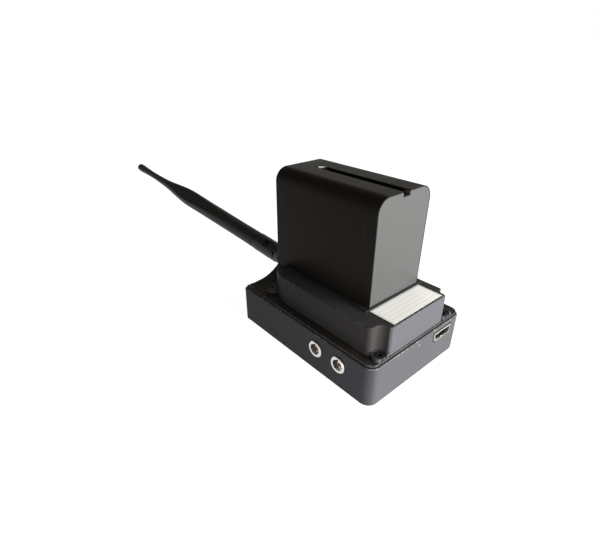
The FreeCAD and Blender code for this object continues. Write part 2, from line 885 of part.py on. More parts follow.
def battery_terminals():
    x0 = battery_right - terminal_housing_depth + terminal_wall
    x1 = well_right - terminal_block_depth - battery_end_gap
    bore = terminal_pin + terminal_bore_gap
    sleeves = []
    for y in terminal_ys:
        sleeve = rod_x(bore + terminal_wall, x0, x1, y, terminal_height)
        sleeves.append(sleeve.cut(rod_x(bore, x0 + terminal_wall, x1 + overlap, y, terminal_height)))
    return group(sleeves)


cell_diameter = battery_width / 2 - battery_wall - cell_side_gap
cell_pitch = cell_diameter + cell_gap
cell_rows = int((battery_top - battery_wall - case_floor) / cell_pitch)
cell_left = battery_left + battery_end_wall + tab_thickness + cell_gap
protection_board_right = cap_inner - protection_board_gap
cell_right = protection_board_right - protection_board_thickness - tab_thickness


def cell_places():
    first = case_floor + cell_gap + cell_diameter / 2
    return [(side * cell_pitch / 2, first + row * cell_pitch)
            for side in (-1, 1) for row in range(cell_rows)]


def battery_cells():
    cells = []
    for y, z in cell_places():
        cell = rod_x(cell_diameter / 2, cell_left, cell_right, y, z)
        rims = edges_at(cell, lambda b: b.XLength < 1e-4)
        cells.append(cell.makeFillet(tab_thickness * 3, rims))
    return group(cells)


def cell_tabs():
    tabs = []
    heights = [z for _, z in cell_places()]
    for x in (cell_left - tab_thickness, cell_right):
        for side in (-1, 1):
            y = side * cell_pitch / 2
            tabs.append(box(x, x + tab_thickness, y - tab_width / 2, y + tab_width / 2,
                            min(heights) - tab_width / 2, max(heights) + tab_width / 2))
    return group(tabs)


def protection_board():
    heights = [z for _, z in cell_places()]
    return box(protection_board_right - protection_board_thickness, protection_board_right,
               -cell_pitch / 2, cell_pitch / 2, min(heights), max(heights))


# ---------------------------------------------------------------- push-pull sockets
socket_face = base_front - socket_flange_thickness
socket_back = socket_face + socket_length
socket_floor = socket_face + socket_bore_depth
insert_radius = socket_bore - socket_bore_step


def socket_shell(x):
    flange = rod_y(socket_flange, socket_face, base_front, x, socket_height)
    rim = edges_at(flange, lambda b: b.YMax < base_front - 1e-3)
    flange = flange.makeChamfer(socket_flange_thickness / 3, rim)
    barrel = rod_y(socket_barrel, base_front, socket_back, x, socket_height)
    key = box(x - socket_key_width / 2, x + socket_key_width / 2, socket_face - overlap, socket_floor,
              socket_height, socket_height + socket_bore + socket_key_depth)
    mouth = rod_y(socket_bore, socket_face - overlap, socket_floor, x, socket_height)
    rear = rod_y(insert_radius, socket_face, socket_back + overlap, x, socket_height)
    return flange.fuse(barrel).removeSplitter().cut([mouth, rear, key])


def contact_places(x):
    places = []
    for step in range(socket_contact_count):
        angle = math.radians(45 + 360 * step / socket_contact_count)
        places.append((x + socket_contact_circle * math.cos(angle),
                       socket_height + socket_contact_circle * math.sin(angle)))
    return places


def socket_insert(x):
    plug = rod_y(insert_radius - thread_gap, socket_floor, socket_back, x, socket_height)
    return plug.cut([rod_y(socket_contact, socket_floor - overlap, socket_back + overlap, cx, cz)
                     for cx, cz in contact_places(x)])


def socket_contacts(x):
    """Female contacts: tubes flush with the insert's face, with solder tails behind it."""
    tubes = []
    for cx, cz in contact_places(x):
        tube = rod_y(socket_contact, socket_floor, socket_back + socket_tail, cx, cz)
        tubes.append(tube.cut(rod_y(socket_contact_bore, socket_floor - overlap, socket_back, cx, cz)))
    return group(tubes)


def socket_nut_shape(x):
    y0 = base_front + base_wall
    nut = hexagon(2 * socket_nut * math.cos(math.pi / 6), V(x, y0, socket_height),
                  V(x, y0 + socket_nut_thickness, socket_height))
    return nut.cut(rod_y(socket_barrel + socket_fit, y0 - overlap, y0 + socket_nut_thickness + overlap,
                         x, socket_height))


# ---------------------------------------------------------------- video socket and light
def video_socket_shell():
    front = base_right + video_proud
    outer = video_outline(0, front - video_depth, front)
    inner = video_outline(-video_shell, front - video_depth + video_shell, front + overlap)
    return outer.cut(inner)


def tongue_height():
    return video_bottom + video_height * 0.55


def video_socket_tongue():
    back = base_right + video_proud - video_depth + video_shell
    z = tongue_height()
    tongue = box(back, back + tongue_length, video_offset_y - tongue_width / 2,
                 video_offset_y + tongue_width / 2, z - tongue_thickness / 2, z + tongue_thickness / 2)
    root = video_outline(-video_shell - thread_gap, back, back + 2 * overlap)
    return tongue.fuse(root).removeSplitter()


def video_socket_contacts():
    back = base_right + video_proud - video_depth + video_shell + 2 * overlap
    reach = back + tongue_length - 3 * overlap
    pitch = (tongue_width - contact_width) / contact_count
    contacts = []
    for step in range(contact_count):
        y = video_offset_y + (step - (contact_count - 1) / 2) * pitch
        for side in (-1, 1):
            z = tongue_height() + side * tongue_thickness / 2
            z0, z1 = (z, z + contact_thickness) if side > 0 else (z - contact_thickness, z)
            contacts.append(box(back, reach, y - contact_width / 2, y + contact_width / 2, z0, z1))
    return group(contacts)


def status_light():
    x1 = base_right + video_proud
    pipe = rod_x(light_radius, x1 - light_length, x1, light_offset_y, light_height)
    return pipe.makeFillet(video_proud, edges_at(pipe, lambda b: b.XMin > x1 - 1e-4))


# ---------------------------------------------------------------- electronics
def main_board():
    board = rounded_box(board_left_edge, board_right, board_front_edge, board_back,
                        board_bottom, board_top, board_margin)
    cuts = [rod_z(post_radius + video_clearance, base_floor, base_height, x, y)
            for x, y in cover_screw_places if not above_video_socket(x, y)]
    cuts += [rod_z(board_screw_shank + thread_gap, board_bottom - overlap, board_top + overlap, x, y)
             for x, y in standoff_places]
    return board.cut(cuts)


def board_screws():
    return group([cap_screw(x, y, board_top, board_screw_head, board_screw_head_height,
                            board_screw_shank, board_top - board_screw_length, hex_key, hex_key_depth)
                  for x, y in standoff_places])


def video_processor():
    half = processor_size / 2
    return box(processor_x - half, processor_x + half, processor_y - half, processor_y + half,
               board_top, board_top + processor_height)


def heatsink():
    half = processor_size / 2
    z0 = board_top + processor_height
    z1 = z0 + heatsink_base
    sink = box(processor_x - half, processor_x + half, processor_y - half, processor_y + half, z0, z1)
    pitch = (processor_size - heatsink_fin_thickness) / (heatsink_fins - 1)
    fins = []
    for step in range(heatsink_fins):
        x0 = processor_x - half + step * pitch
        fins.append(box(x0, x0 + heatsink_fin_thickness, processor_y - half, processor_y + half,
                        z1, z0 + heatsink_height))
    return sink.fuse(fins).removeSplitter()


def memory_chips():
    chips = []
    y0 = board_front_edge + memory_inset
    for side in (-1, 1):
        x = memory_x + side * (memory_length + memory_gap) / 2
        chips.append(box(x - memory_length / 2, x + memory_length / 2, y0, y0 + memory_width,
                         board_top, board_top + memory_height))
    return group(chips)


def radio_module():
    return box(radio_left, radio_right, radio_y - radio_width / 2, radio_y + radio_width / 2,
               board_top, radio_top)


def radio_plug():
    """Small coaxial plug on the radio board, beside the shield can."""
    return rod_z(plug_radius, radio_top, radio_top + plug_height, plug_x, jack_offset_y)


def shield_can():
    x0 = plug_x + plug_radius + plug_clearance
    x1 = radio_right - shield_margin
    y0 = radio_y - radio_width / 2 + shield_margin
    y1 = radio_y + radio_width / 2 - shield_margin
    can = rounded_box(x0, x1, y0, y1, radio_top, radio_top + shield_height, 2 * shield_wall)
    return can.cut(box(x0 + shield_wall, x1 - shield_wall, y0 + shield_wall, y1 - shield_wall,
                       radio_top - overlap, radio_top + shield_height - shield_wall))


def power_amplifier():
    z0 = base_floor + pad_thickness
    return rounded_box(amplifier_x - amplifier_length / 2, amplifier_x + amplifier_length / 2,
                       amplifier_y - amplifier_width / 2, amplifier_y + amplifier_width / 2,
                       z0, z0 + amplifier_height, overlap)


def amplifier_pad():
    return box(amplifier_x - amplifier_length / 2, amplifier_x + amplifier_length / 2,
               amplifier_y - amplifier_width / 2, amplifier_y + amplifier_width / 2,
               base_floor, base_floor + pad_thickness)


def power_inductors():
    parts = []
    half = inductor_size / 2
    y = board_front_edge + inductor_inset
    for step in range(2):
        x = inductor_x + (step - 0.5) * inductor_spacing
        parts.append(rounded_box(x - half, x + half, y - half, y + half,
                                 board_top, board_top + inductor_height, overlap))
    return group(parts)


def capacitors():
    return group([rod_z(capacitor_radius, board_top, board_top + capacitor_height,
                        capacitor_x + (step - 1) * capacitor_spacing, board_back - capacitor_inset)
                  for step in range(3)])


def power_header():
    half = header_width / 2
    header = box(terminal_leg_x - header_depth / 2, terminal_leg_x + header_depth / 2, -half, half,
                 board_top, recess_bottom - overlap)
    return header.cut([rod_z(terminal_pin + thread_gap, board_top, block_top, terminal_leg_x, y)
                            for y in terminal_ys])


# ---------------------------------------------------------------- aerial socket
def jack_body():
    """Bulkhead jack: a flange inside the wall and a threaded barrel out through it."""
    inner = jack_inner_wall + jack_flange_thickness
    flange = box(jack_inner_wall, inner, jack_offset_y - jack_flange_half,
                 jack_offset_y + jack_flange_half, jack_height - jack_flange_half + jack_fit,
                 jack_height + jack_flange_half)
    barrel = rod_x(jack_thread, jack_tip, jack_inner_wall, jack_offset_y, jack_height)
    tail = rod_x(jack_bore, inner, jack_inner_wall + jack_inner_length, jack_offset_y, jack_height)
    body = barrel.fuse([flange, tail]).removeSplitter()
    return body.cut(rod_x(jack_bore - jack_core, jack_tip - overlap,
                          jack_inner_wall + jack_inner_length + overlap, jack_offset_y, jack_height))


def jack_insulator():
    back = jack_inner_wall + jack_inner_length
    core = rod_x(jack_bore - jack_core, jack_tip + 2 * overlap, back, jack_offset_y, jack_height)
    return core.cut(rod_x(jack_core, jack_tip - overlap, back + overlap, jack_offset_y, jack_height))


def jack_pin():
    return rod_x(jack_core, jack_tip + overlap, jack_inner_wall + jack_inner_length,
                 jack_offset_y, jack_height)


def jack_washer_ring():
    ring = rod_x(jack_washer, washer_face, jack_face, jack_offset_y, jack_height)
    return ring.cut(rod_x(jack_thread + jack_fit, washer_face - overlap, jack_face + overlap,
                          jack_offset_y, jack_height))


def jack_nut():
    nut = hexagon(jack_nut_flats, V(nut_face, jack_offset_y, jack_height),
                  V(washer_face, jack_offset_y, jack_height))
    return nut.cut(rod_x(jack_thread + jack_fit, nut_face - overlap, washer_face + overlap,
                         jack_offset_y, jack_height))


def feed_coax():
    """Semi-rigid coax from the back of the jack along +X, bent once, down to the radio's plug."""
    start = V(jack_inner_wall + jack_inner_length, jack_offset_y, jack_height)
    end = V(plug_x, jack_offset_y, radio_top + plug_height)
    return bent_rod(feed_coax_radius, start, end, feed_coax_bend)


# ---------------------------------------------------------------- hinged whip aerial
def coupling_collar():
    """The hexagon collar that screws onto the jack and keeps the elbow's stem."""
    collar = hexagon(collar_flats, V(collar_left, jack_offset_y, jack_height),
                     V(collar_right, jack_offset_y, jack_height))
    round_bar = rod_x(elbow_radius, collar_left, collar_right, jack_offset_y, jack_height)
    rims = edges_at(round_bar, lambda b: b.XLength < 1e-4)
    collar = collar.common(round_bar.makeChamfer(collar_bevel, rims))
    thread = jack_thread + collar_wall_gap
    flange_space = stem_flange + collar_gap
    cuts = [rod_x(thread, flange_left() - collar_gap + stem_flange_thickness, collar_right + overlap,
                  jack_offset_y, jack_height)]
    cuts.append(rod_x(flange_space, flange_left() - collar_gap, collar_right, jack_offset_y, jack_height))
    cuts.append(rod_x(stem_radius + collar_gap, collar_left - overlap, collar_right,
                      jack_offset_y, jack_height))
    return collar.cut(cuts)


def flange_left():
    return collar_left + 2 * overlap


def tilt_frame():
    """Unit vectors of the hinge: along the elbow, the hinge pin, and the tilt's upward side."""
    swivel = math.radians(whip_swivel)
    upward = V(0, -math.sin(swivel), math.cos(swivel))
    along = V(-1, 0, 0)
    return along, along.cross(upward), upward


def to_whip_pose(shape):
    """Turn a shape built along +X, hinge pin on Y, into the whip's rest pose."""
    along, pin, upward = tilt_frame()
    tilt = math.radians(whip_tilt)
    direction = along * math.cos(tilt) + upward * math.sin(tilt)
    third = direction.cross(pin)
    matrix = FreeCAD.Matrix(direction.x, pin.x, third.x, hinge_point.x,
                            direction.y, pin.y, third.y, hinge_point.y,
                            direction.z, pin.z, third.z, hinge_point.z,
                            0, 0, 0, 1)
    return shape.transformed(matrix, True)


def to_elbow_pose(shape):
    """Turn a shape built along +X, hinge pin on Y, into line with the jack."""
    along, pin, upward = tilt_frame()
    third = along.cross(pin)
    matrix = FreeCAD.Matrix(along.x, pin.x, third.x, hinge_point.x,
                            along.y, pin.y, third.y, hinge_point.y,
                            along.z, pin.z, third.z, hinge_point.z,
                            0, 0, 0, 1)
    return shape.transformed(matrix, True)


def hinge_slab(x0, x1, y0, y1):
    """A flat cheek of the hinge, rounded about the pin."""
    cheek = box(x0, x1, y0, y1, -knuckle_radius, knuckle_radius)
    return cheek.fuse(rod_y(knuckle_radius, y0, y1, 0, 0)).removeSplitter()


def antenna_elbow():
    """Stem, round body and central tongue, built with the jack towards -X."""
    body_end = -knuckle_radius - shoulder_gap
    body_start = hinge_x - collar_left + collar_gap
    stem_end = hinge_x - flange_left()
    body = rod_x(elbow_radius, body_start, body_end, 0, 0)
    stem = rod_x(stem_radius, stem_end, body_start, 0, 0)
    flange = rod_x(stem_flange, stem_end - stem_flange_thickness, stem_end, 0, 0)
    tongue = hinge_slab(body_end - overlap, 0, -tongue_half, tongue_half)
    round_bar = rod_x(elbow_radius, body_end - overlap, 2 * knuckle_radius, 0, 0)
    elbow = body.fuse([stem, flange, tongue.common(round_bar)]).removeSplitter()
    elbow = elbow.cut(rod_y(hinge_pin_radius + hinge_fit, -elbow_radius, elbow_radius, 0, 0))
    return to_elbow_pose(elbow)


def hinge_pin():
    pin = rod_y(hinge_pin_radius, -elbow_radius + collar_gap, elbow_radius - collar_gap, 0, 0)
    return to_elbow_pose(pin)


def whip_fork():
    """Fork and collar at the whip's foot, built along +X from the hinge."""
    bar = rod_x(elbow_radius, -2 * knuckle_radius, fork_length, 0, 0)
    corner = box(-3 * knuckle_radius, 0, -2 * elbow_radius, 2 * elbow_radius,
                 -2 * elbow_radius, 2 * elbow_radius)
    knuckle = rod_y(knuckle_radius, -3 * elbow_radius, 3 * elbow_radius, 0, 0)
    fork = bar.cut(corner.cut(knuckle))
    slot_end = knuckle_radius + shoulder_gap
    slot_half = tongue_half + fork_gap
    slot = box(-2 * knuckle_radius, slot_end, -slot_half, slot_half, -2 * elbow_radius, 2 * elbow_radius)
    fork = fork.cut(slot)
    ring = rod_x(2 * elbow_radius, fork_length - ring_width, fork_length + overlap, 0, 0)
    ring = ring.cut(rod_x(elbow_radius - ring_depth, 0, 2 * fork_length, 0, 0))
    socket = rod_x(feed_radius + hinge_fit, slot_end + overlap, fork_length + overlap, 0, 0)
    fork = fork.cut(ring).cut(socket)
    fork = fork.cut(rod_y(hinge_pin_radius + thread_gap, -2 * elbow_radius, 2 * elbow_radius, 0, 0))
    return to_whip_pose(fork)


def whip_outline(half_turn):
    """The radome's side line as a smooth curve through its foot, swell, neck and tip."""
    foot = V(fork_length, whip_foot_radius, 0)
    waist = V(waist_at, whip_waist_radius, 0)
    swell = V(swell_at, whip_swell_radius, 0)
    neck = V(neck_at, whip_neck_radius, 0)
    tip = V(whip_length - tip_from_end, whip_tip_radius, 0)
    end = V(whip_length, 0, 0)
    body = [V(waist_at + along * (swell_at - waist_at),
              whip_waist_radius + thick * (whip_swell_radius - whip_waist_radius), 0)
            for along, thick in body_steps]
    taper = [V(swell_at + along * (neck_at - swell_at),
               whip_neck_radius + thick * (whip_swell_radius - whip_neck_radius), 0)
             for along, thick in taper_steps]
    side = Part.BSplineCurve()
    side.interpolate(Points=[foot, waist, *body, swell, *taper, neck, tip])
    last = V(whip_length - whip_tip_radius, whip_tip_radius, 0)
    cap_mid = V(whip_length - whip_tip_radius + whip_tip_radius * math.cos(math.pi / 4),
                whip_tip_radius * math.sin(math.pi / 4), 0)
    edges = [
        side.toShape(),
        Part.LineSegment(tip, last).toShape(),
        Part.Arc(last, cap_mid, end).toShape(),
        Part.LineSegment(end, V(fork_length, 0, 0)).toShape(),
        Part.LineSegment(V(fork_length, 0, 0), foot).toShape(),
    ]
    return Part.Face(Part.Wire(edges)).revolve(V(0, 0, 0), X_AXIS, half_turn)


def antenna_radome():
    """The tube, thinned to a blade by two flats that run out at both ends."""
    solid = whip_outline(360)
    blade_to = whip_length - blade_from_end
    wide = 3 * elbow_radius
    slope = (whip_waist_radius - blade_end_half) / (blade_to - blade_from)
    near = whip_waist_radius + overlap + slope * overlap
    for side in (-1, 1):
        wedge = Part.Face(Part.makePolygon([
            V(blade_from - overlap, -wide, side * near),
            V(blade_from, -wide, side * whip_waist_radius),
            V(blade_to, -wide, side * blade_end_half),
            V(blade_to, -wide, side * wide),
            V(blade_from - overlap, -wide, side * wide),
            V(blade_from - overlap, -wide, side * near),
        ])).extrude(V(0, 2 * wide, 0))
        solid = solid.cut(wedge)
    bore = rod_x(whip_bore, fork_length - overlap, whip_bore_end, 0, 0)
    return to_whip_pose(solid.cut(bore))


def antenna_radiator():
    """Feed wire from the fork and the two sleeves of the dipole inside the radome."""
    first = fork_length + whip_bore_start
    half = (whip_bore_end - first - radiator_gap) / 2 - overlap
    feed = rod_x(feed_radius, knuckle_radius + shoulder_gap + overlap, first, 0, 0)
    lower = rod_x(radiator_radius, first, first + half, 0, 0)
    core = rod_x(feed_radius, first, first + half + radiator_gap, 0, 0)
    upper = rod_x(radiator_radius, first + half + radiator_gap, first + 2 * half + radiator_gap, 0, 0)
    return to_whip_pose(feed.fuse([lower, core, upper]).removeSplitter())


# ---------------------------------------------------------------- nodes
def all_nodes():
    nodes = {
        "base_housing": base_housing(),
        "cover_gasket": cover_gasket(),
        "top_cover": top_cover(),
        "cover_screws": cover_screws(),
        "edge_screws": edge_screws(),
        "label_plate": label_plate(),
        "battery_plate": battery_plate(),
        "plate_screws": plate_screws(),
        "plate_terminal_block": terminal_block(),
        "plate_terminal_pins": terminal_pins(),
        "battery_case": battery_case(),
        "battery_end_cap": battery_end_cap(),
        "battery_terminals": battery_terminals(),
        "battery_cells": battery_cells(),
        "battery_cell_tabs": cell_tabs(),
        "battery_protection_board": protection_board(),
        "video_socket_shell": video_socket_shell(),
        "video_socket_tongue": video_socket_tongue(),
        "video_socket_contacts": video_socket_contacts(),
        "status_light": status_light(),
        "main_board": main_board(),
        "board_screws": board_screws(),
        "video_processor": video_processor(),
        "processor_heatsink": heatsink(),
        "memory_chips": memory_chips(),
        "radio_module": radio_module(),
        "radio_shield_can": shield_can(),
        "radio_coax_plug": radio_plug(),
        "power_amplifier": power_amplifier(),
        "amplifier_thermal_pad": amplifier_pad(),
        "power_inductors": power_inductors(),
        "power_capacitors": capacitors(),
        "power_header": power_header(),
        "antenna_jack_body": jack_body(),
        "antenna_jack_insulator": jack_insulator(),
        "antenna_jack_pin": jack_pin(),
        "antenna_jack_washer": jack_washer_ring(),
        "antenna_jack_nut": jack_nut(),
        "antenna_feed_coax": feed_coax(),
        "antenna_coupling_collar": coupling_collar(),
        "antenna_elbow": antenna_elbow(),
        "antenna_hinge_pin": hinge_pin(),
        "antenna_fork": whip_fork(),
        "antenna_radome": antenna_radome(),
        "antenna_radiator": antenna_radiator(),
    }
    for number, x in enumerate(socket_xs(), start=1):
        nodes[f"round_socket_{number}_shell"] = socket_shell(x)
        nodes[f"round_socket_{number}_insert"] = socket_insert(x)
        nodes[f"round_socket_{number}_contacts"] = socket_contacts(x)
        nodes[f"round_socket_{number}_nut"] = socket_nut_shape(x)
    return nodes


os.makedirs("parts", exist_ok=True)
for name, shape in all_nodes().items():
    bounds = shape.BoundBox
    print(f"{name:28s} solids {len(shape.Solids):2d} valid {shape.isValid()} volume {shape.Volume:10.2f}"
          f"  x {bounds.XMin:8.2f} {bounds.XMax:8.2f}  y {bounds.YMin:7.2f} {bounds.YMax:7.2f}"
          f"  z {bounds.ZMin:7.2f} {bounds.ZMax:7.2f}")
    shape.exportStep(f"parts/{name}.step")
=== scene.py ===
# %% [markdown]
# # A compact wireless video transmitter, dressed for a studio view
#
# The solid parts of this transmitter already exist: a milled metal base and cover, a camcorder
# battery that slides into a raised block, two round push-pull sockets, a video socket and a
# hinged whip aerial. They arrive as a frame that keeps every part in its true place and size.
# This lesson gives each part its real finish and models the parts whose shape needs more care
# than a solid gives. Sizes are in metres, so the first helper turns millimetres into metres.

import math

import bmesh
import bpy
from mathutils import Matrix, Vector


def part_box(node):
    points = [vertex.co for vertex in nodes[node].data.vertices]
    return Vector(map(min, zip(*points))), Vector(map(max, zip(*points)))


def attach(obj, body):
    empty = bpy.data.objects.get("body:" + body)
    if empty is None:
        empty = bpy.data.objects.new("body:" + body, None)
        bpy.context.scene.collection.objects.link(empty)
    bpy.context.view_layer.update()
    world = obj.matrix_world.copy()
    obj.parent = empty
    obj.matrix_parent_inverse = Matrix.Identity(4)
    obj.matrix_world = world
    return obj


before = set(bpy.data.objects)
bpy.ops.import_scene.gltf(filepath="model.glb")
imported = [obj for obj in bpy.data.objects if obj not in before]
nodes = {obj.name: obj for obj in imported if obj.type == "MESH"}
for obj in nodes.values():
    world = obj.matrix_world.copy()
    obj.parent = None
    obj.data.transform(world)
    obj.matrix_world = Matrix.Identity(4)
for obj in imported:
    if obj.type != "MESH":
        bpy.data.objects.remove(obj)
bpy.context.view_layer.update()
MM = 0.001


def mm(x, y, z):
    return Vector((x, y, z)) * MM


print("nodes in the frame:", len(nodes))

# %% [markdown]
# ## Camera
#
# The camera comes first, because every later choice is judged through it. It stands close, with
# a wide lens, a little above the battery, so the near corner looks large and the aerial thins
# quickly into the distance. A longer lens further away would frame the same box, but it would
# flatten exactly those two things.

# %% Camera
camera_data = bpy.data.cameras.new("camera")
camera = bpy.data.objects.new("camera", camera_data)
bpy.context.scene.collection.objects.link(camera)
camera_data.lens = 24.52
camera_data.sensor_width = 36.0
camera_data.clip_start = 0.01
camera.location = mm(132.0, -151.0, 147.6)
looking_at = mm(-47.23, 3.92, 18.39)
camera.rotation_euler = (looking_at - camera.location).to_track_quat("-Z", "Y").to_euler()
bpy.context.scene.camera = camera
print("camera to transmitter:", round((looking_at - camera.location).length, 3), "m")

# %% [markdown]
# ## Helpers for materials
#
# A material is a small graph of nodes. It could be wired by hand in the shader editor, but a
# graph that is written down can be read, repeated and changed in one place. One helper adds a
# node and feeds its sockets. The others name the sums that come back again and again: plain and
# vector arithmetic, a smooth step from one value to another, and masks. A mask is a number
# between 0 and 1 that says where a second colour goes.


# %% Add a node and feed it
def feed(tree, node, feeds):
    for socket, value in feeds.items():
        if isinstance(value, bpy.types.NodeSocket):
            tree.links.new(value, node.inputs[socket])
        else:
            node.inputs[socket].default_value = value


def add_node(tree, kind, feeds=None, **settings):
    node = tree.nodes.new(kind)
    for key, value in settings.items():
        setattr(node, key, value)
    feed(tree, node, feeds or {})
    return node


# %% Sums, steps and mixes
def calc(tree, operation, first, second=0.0, third=0.0, clamp=False):
    return add_node(tree, "ShaderNodeMath", {0: first, 1: second, 2: third},
                    operation=operation, use_clamp=clamp).outputs[0]


def vector_calc(tree, operation, first, second=(0.0, 0.0, 0.0)):
    return add_node(tree, "ShaderNodeVectorMath", {0: first, 1: second},
                    operation=operation).outputs


def split(tree, vector):
    return add_node(tree, "ShaderNodeSeparateXYZ", {0: vector}).outputs


def ease(tree, value, start, end, at_start=0.0, at_end=1.0, way="SMOOTHSTEP"):
    return add_node(tree, "ShaderNodeMapRange", {
        "Value": value, "From Min": start, "From Max": end,
        "To Min": at_start, "To Max": at_end}, interpolation_type=way).outputs["Result"]


def noise(tree, place, per_metre, **details):
    return add_node(tree, "ShaderNodeTexNoise", {
        "Vector": place, "Scale": per_metre, **details}).outputs["Fac"]


def mix_colour(tree, amount, first, second):
    return add_node(tree, "ShaderNodeMix", {0: amount, 6: first, 7: second},
                    data_type="RGBA").outputs[2]


# %% Masks that join or overlap
def any_of(tree, mask, *others):
    for other in others:
        mask = calc(tree, "MAXIMUM", mask, other)
    return mask


def all_of(tree, mask, *others):
    for other in others:
        mask = calc(tree, "MULTIPLY", mask, other)
    return mask


# %% [markdown]
# ## Floor
#
# The transmitter stands on plain white studio paper. White paper under a lamp would turn grey
# at its edges and show a horizon, and more light on it would also wash out the black parts. So
# the paper is matt and takes the shadow close to the transmitter, and fades to plain white from
# a hand's breadth away. Rays that come straight from the camera, from a shiny part or through a
# clear one see it brighter than it is lit, which keeps the page clean without more light.

# %% Rays that see a surface directly
WHITE = (1.0, 1.0, 1.0, 1.0)


def seen_directly(tree):
    ray = add_node(tree, "ShaderNodeLightPath").outputs
    return any_of(tree, ray["Is Camera Ray"], ray["Is Glossy Ray"], ray["Is Transmission Ray"])


# %% Paper that fades to white
PAPER_DARK, PAPER_PALE = (0.24, 0.24, 0.24, 1.0), (0.28, 0.28, 0.28, 1.0)
FIBRES_PER_METRE = 900.0
NEAR_GLOW, FAR_LEAST_GLOW = 0.93, 0.12
FADE_START, FADE_END = 0.16, 0.60

paper = bpy.data.materials.new("pale paper")
paper.use_nodes = True
tree = paper.node_tree
tree.nodes.remove(tree.nodes["Principled BSDF"])
place = add_node(tree, "ShaderNodeTexCoord").outputs["Object"]
fibre = noise(tree, place, FIBRES_PER_METRE, Detail=3.0)
matt = add_node(tree, "ShaderNodeBsdfDiffuse", {
    "Color": mix_colour(tree, fibre, PAPER_DARK, PAPER_PALE)})
glow = add_node(tree, "ShaderNodeEmission", {
    "Color": WHITE, "Strength": calc(tree, "MULTIPLY", seen_directly(tree), NEAR_GLOW)})
near = add_node(tree, "ShaderNodeAddShader", {0: matt.outputs[0], 1: glow.outputs[0]})
white = add_node(tree, "ShaderNodeEmission", {
    "Color": WHITE, "Strength": any_of(tree, seen_directly(tree), FAR_LEAST_GLOW)})
distance = vector_calc(tree, "LENGTH", place)["Value"]
mixed = add_node(tree, "ShaderNodeMixShader", {
    0: ease(tree, distance, FADE_START, FADE_END), 1: near.outputs[0], 2: white.outputs[0]})
tree.links.new(mixed.outputs[0], tree.nodes["Material Output"].inputs["Surface"])
print("paper turns white between", FADE_START, "and", FADE_END, "m")

# %% Floor disc
FLOOR_RADIUS = 6.0

shape = bmesh.new()
bmesh.ops.create_circle(shape, cap_ends=True, segments=96, radius=FLOOR_RADIUS)
floor_mesh = bpy.data.meshes.new("studio_floor")
shape.to_mesh(floor_mesh)
shape.free()
floor_mesh.materials.append(paper)
studio_floor = bpy.data.objects.new("studio_floor", floor_mesh)
bpy.context.scene.collection.objects.link(studio_floor)
print("floor radius:", FLOOR_RADIUS, "m")

# %% [markdown]
# ## Surroundings
#
# The surroundings work as the floor does: white when looked at, dim as a source of light. A
# shiny part mirrors a bright band near the horizon and a darker, warmer room overhead. A plain
# white world would be simpler, but then every black surface that looks up would turn grey.
# The Standard view transform shows each colour as it is written.

# %% White surroundings and plain display colours
BAND_TOP, ROOM_START = 0.04, 0.50
ROOM_BRIGHTNESS = 0.16
ROOM_TINT = (1.0, 0.84, 0.64, 1.0)
AIR_LIGHT = 0.07

world = bpy.data.worlds.new("studio")
world.use_nodes = True
bpy.context.scene.world = world
tree = world.node_tree
air = tree.nodes["Background"]
ray = add_node(tree, "ShaderNodeLightPath").outputs
direction = add_node(tree, "ShaderNodeTexCoord").outputs["Object"]
band = ease(tree, split(tree, direction)["Z"], BAND_TOP, ROOM_START, 1.0, ROOM_BRIGHTNESS)
mirrored = all_of(tree, ray["Is Glossy Ray"], band)
strength = any_of(tree, ray["Is Camera Ray"], ray["Is Transmission Ray"], mirrored, AIR_LIGHT)
warmed = all_of(tree, ray["Is Glossy Ray"], calc(tree, "SUBTRACT", 1.0, band))
tree.links.new(strength, air.inputs["Strength"])
tree.links.new(mix_colour(tree, warmed, WHITE, ROOM_TINT), air.inputs["Color"])
bpy.context.scene.view_settings.view_transform = "Standard"
print("surroundings:", world.name)

# %% [markdown]
# ## Lamps
#
# One large soft box stands beyond the video socket's end and does most of the work: that end,
# the label and the battery's grey cap are bright, while the long front side stays dark. Spheres
# or a sun would give hard edges to the shadows, so each lamp is a wide area. A weak one keeps
# some light on the front, a small one close to the near corner draws the rounded edge, and the
# back one lights what the other sides show. The back lamp isn't seen in reflections, because
# its picture on the battery's glossy top would be a grey patch.


# %% Soft lamps
def soft_lamp(name, place, aim, size, watts):
    lamp_data = bpy.data.lights.new(name, "AREA")
    lamp_data.shape = "RECTANGLE"
    lamp_data.size, lamp_data.size_y = size
    lamp_data.energy = watts
    lamp = bpy.data.objects.new(name, lamp_data)
    bpy.context.scene.collection.objects.link(lamp)
    lamp.location = place
    lamp.rotation_euler = (aim - lamp.location).to_track_quat("-Z", "Y").to_euler()
    lamp.visible_camera = False
    return lamp


middle = mm(0, 0, 35)
near_corner = mm(45, -30, 15)
# Name, place in metres, aim, width and height in metres, watts.
soft_lamp("end_lamp", (0.88, 0.30, 0.23), middle, (0.8, 0.45), 38.0)
soft_lamp("long_side_lamp", (0.25, -1.1, 0.75), middle, (0.9, 0.6), 0.6)
back_lamp = soft_lamp("back_lamp", (-0.75, 0.75, 0.45), middle, (0.8, 0.6), 6.0)
back_lamp.visible_glossy = False
soft_lamp("near_corner_lamp", (0.15, -0.13, 0.05), near_corner, (0.06, 0.05), 0.20)
print("lamps:", [light.name for light in bpy.data.lights])
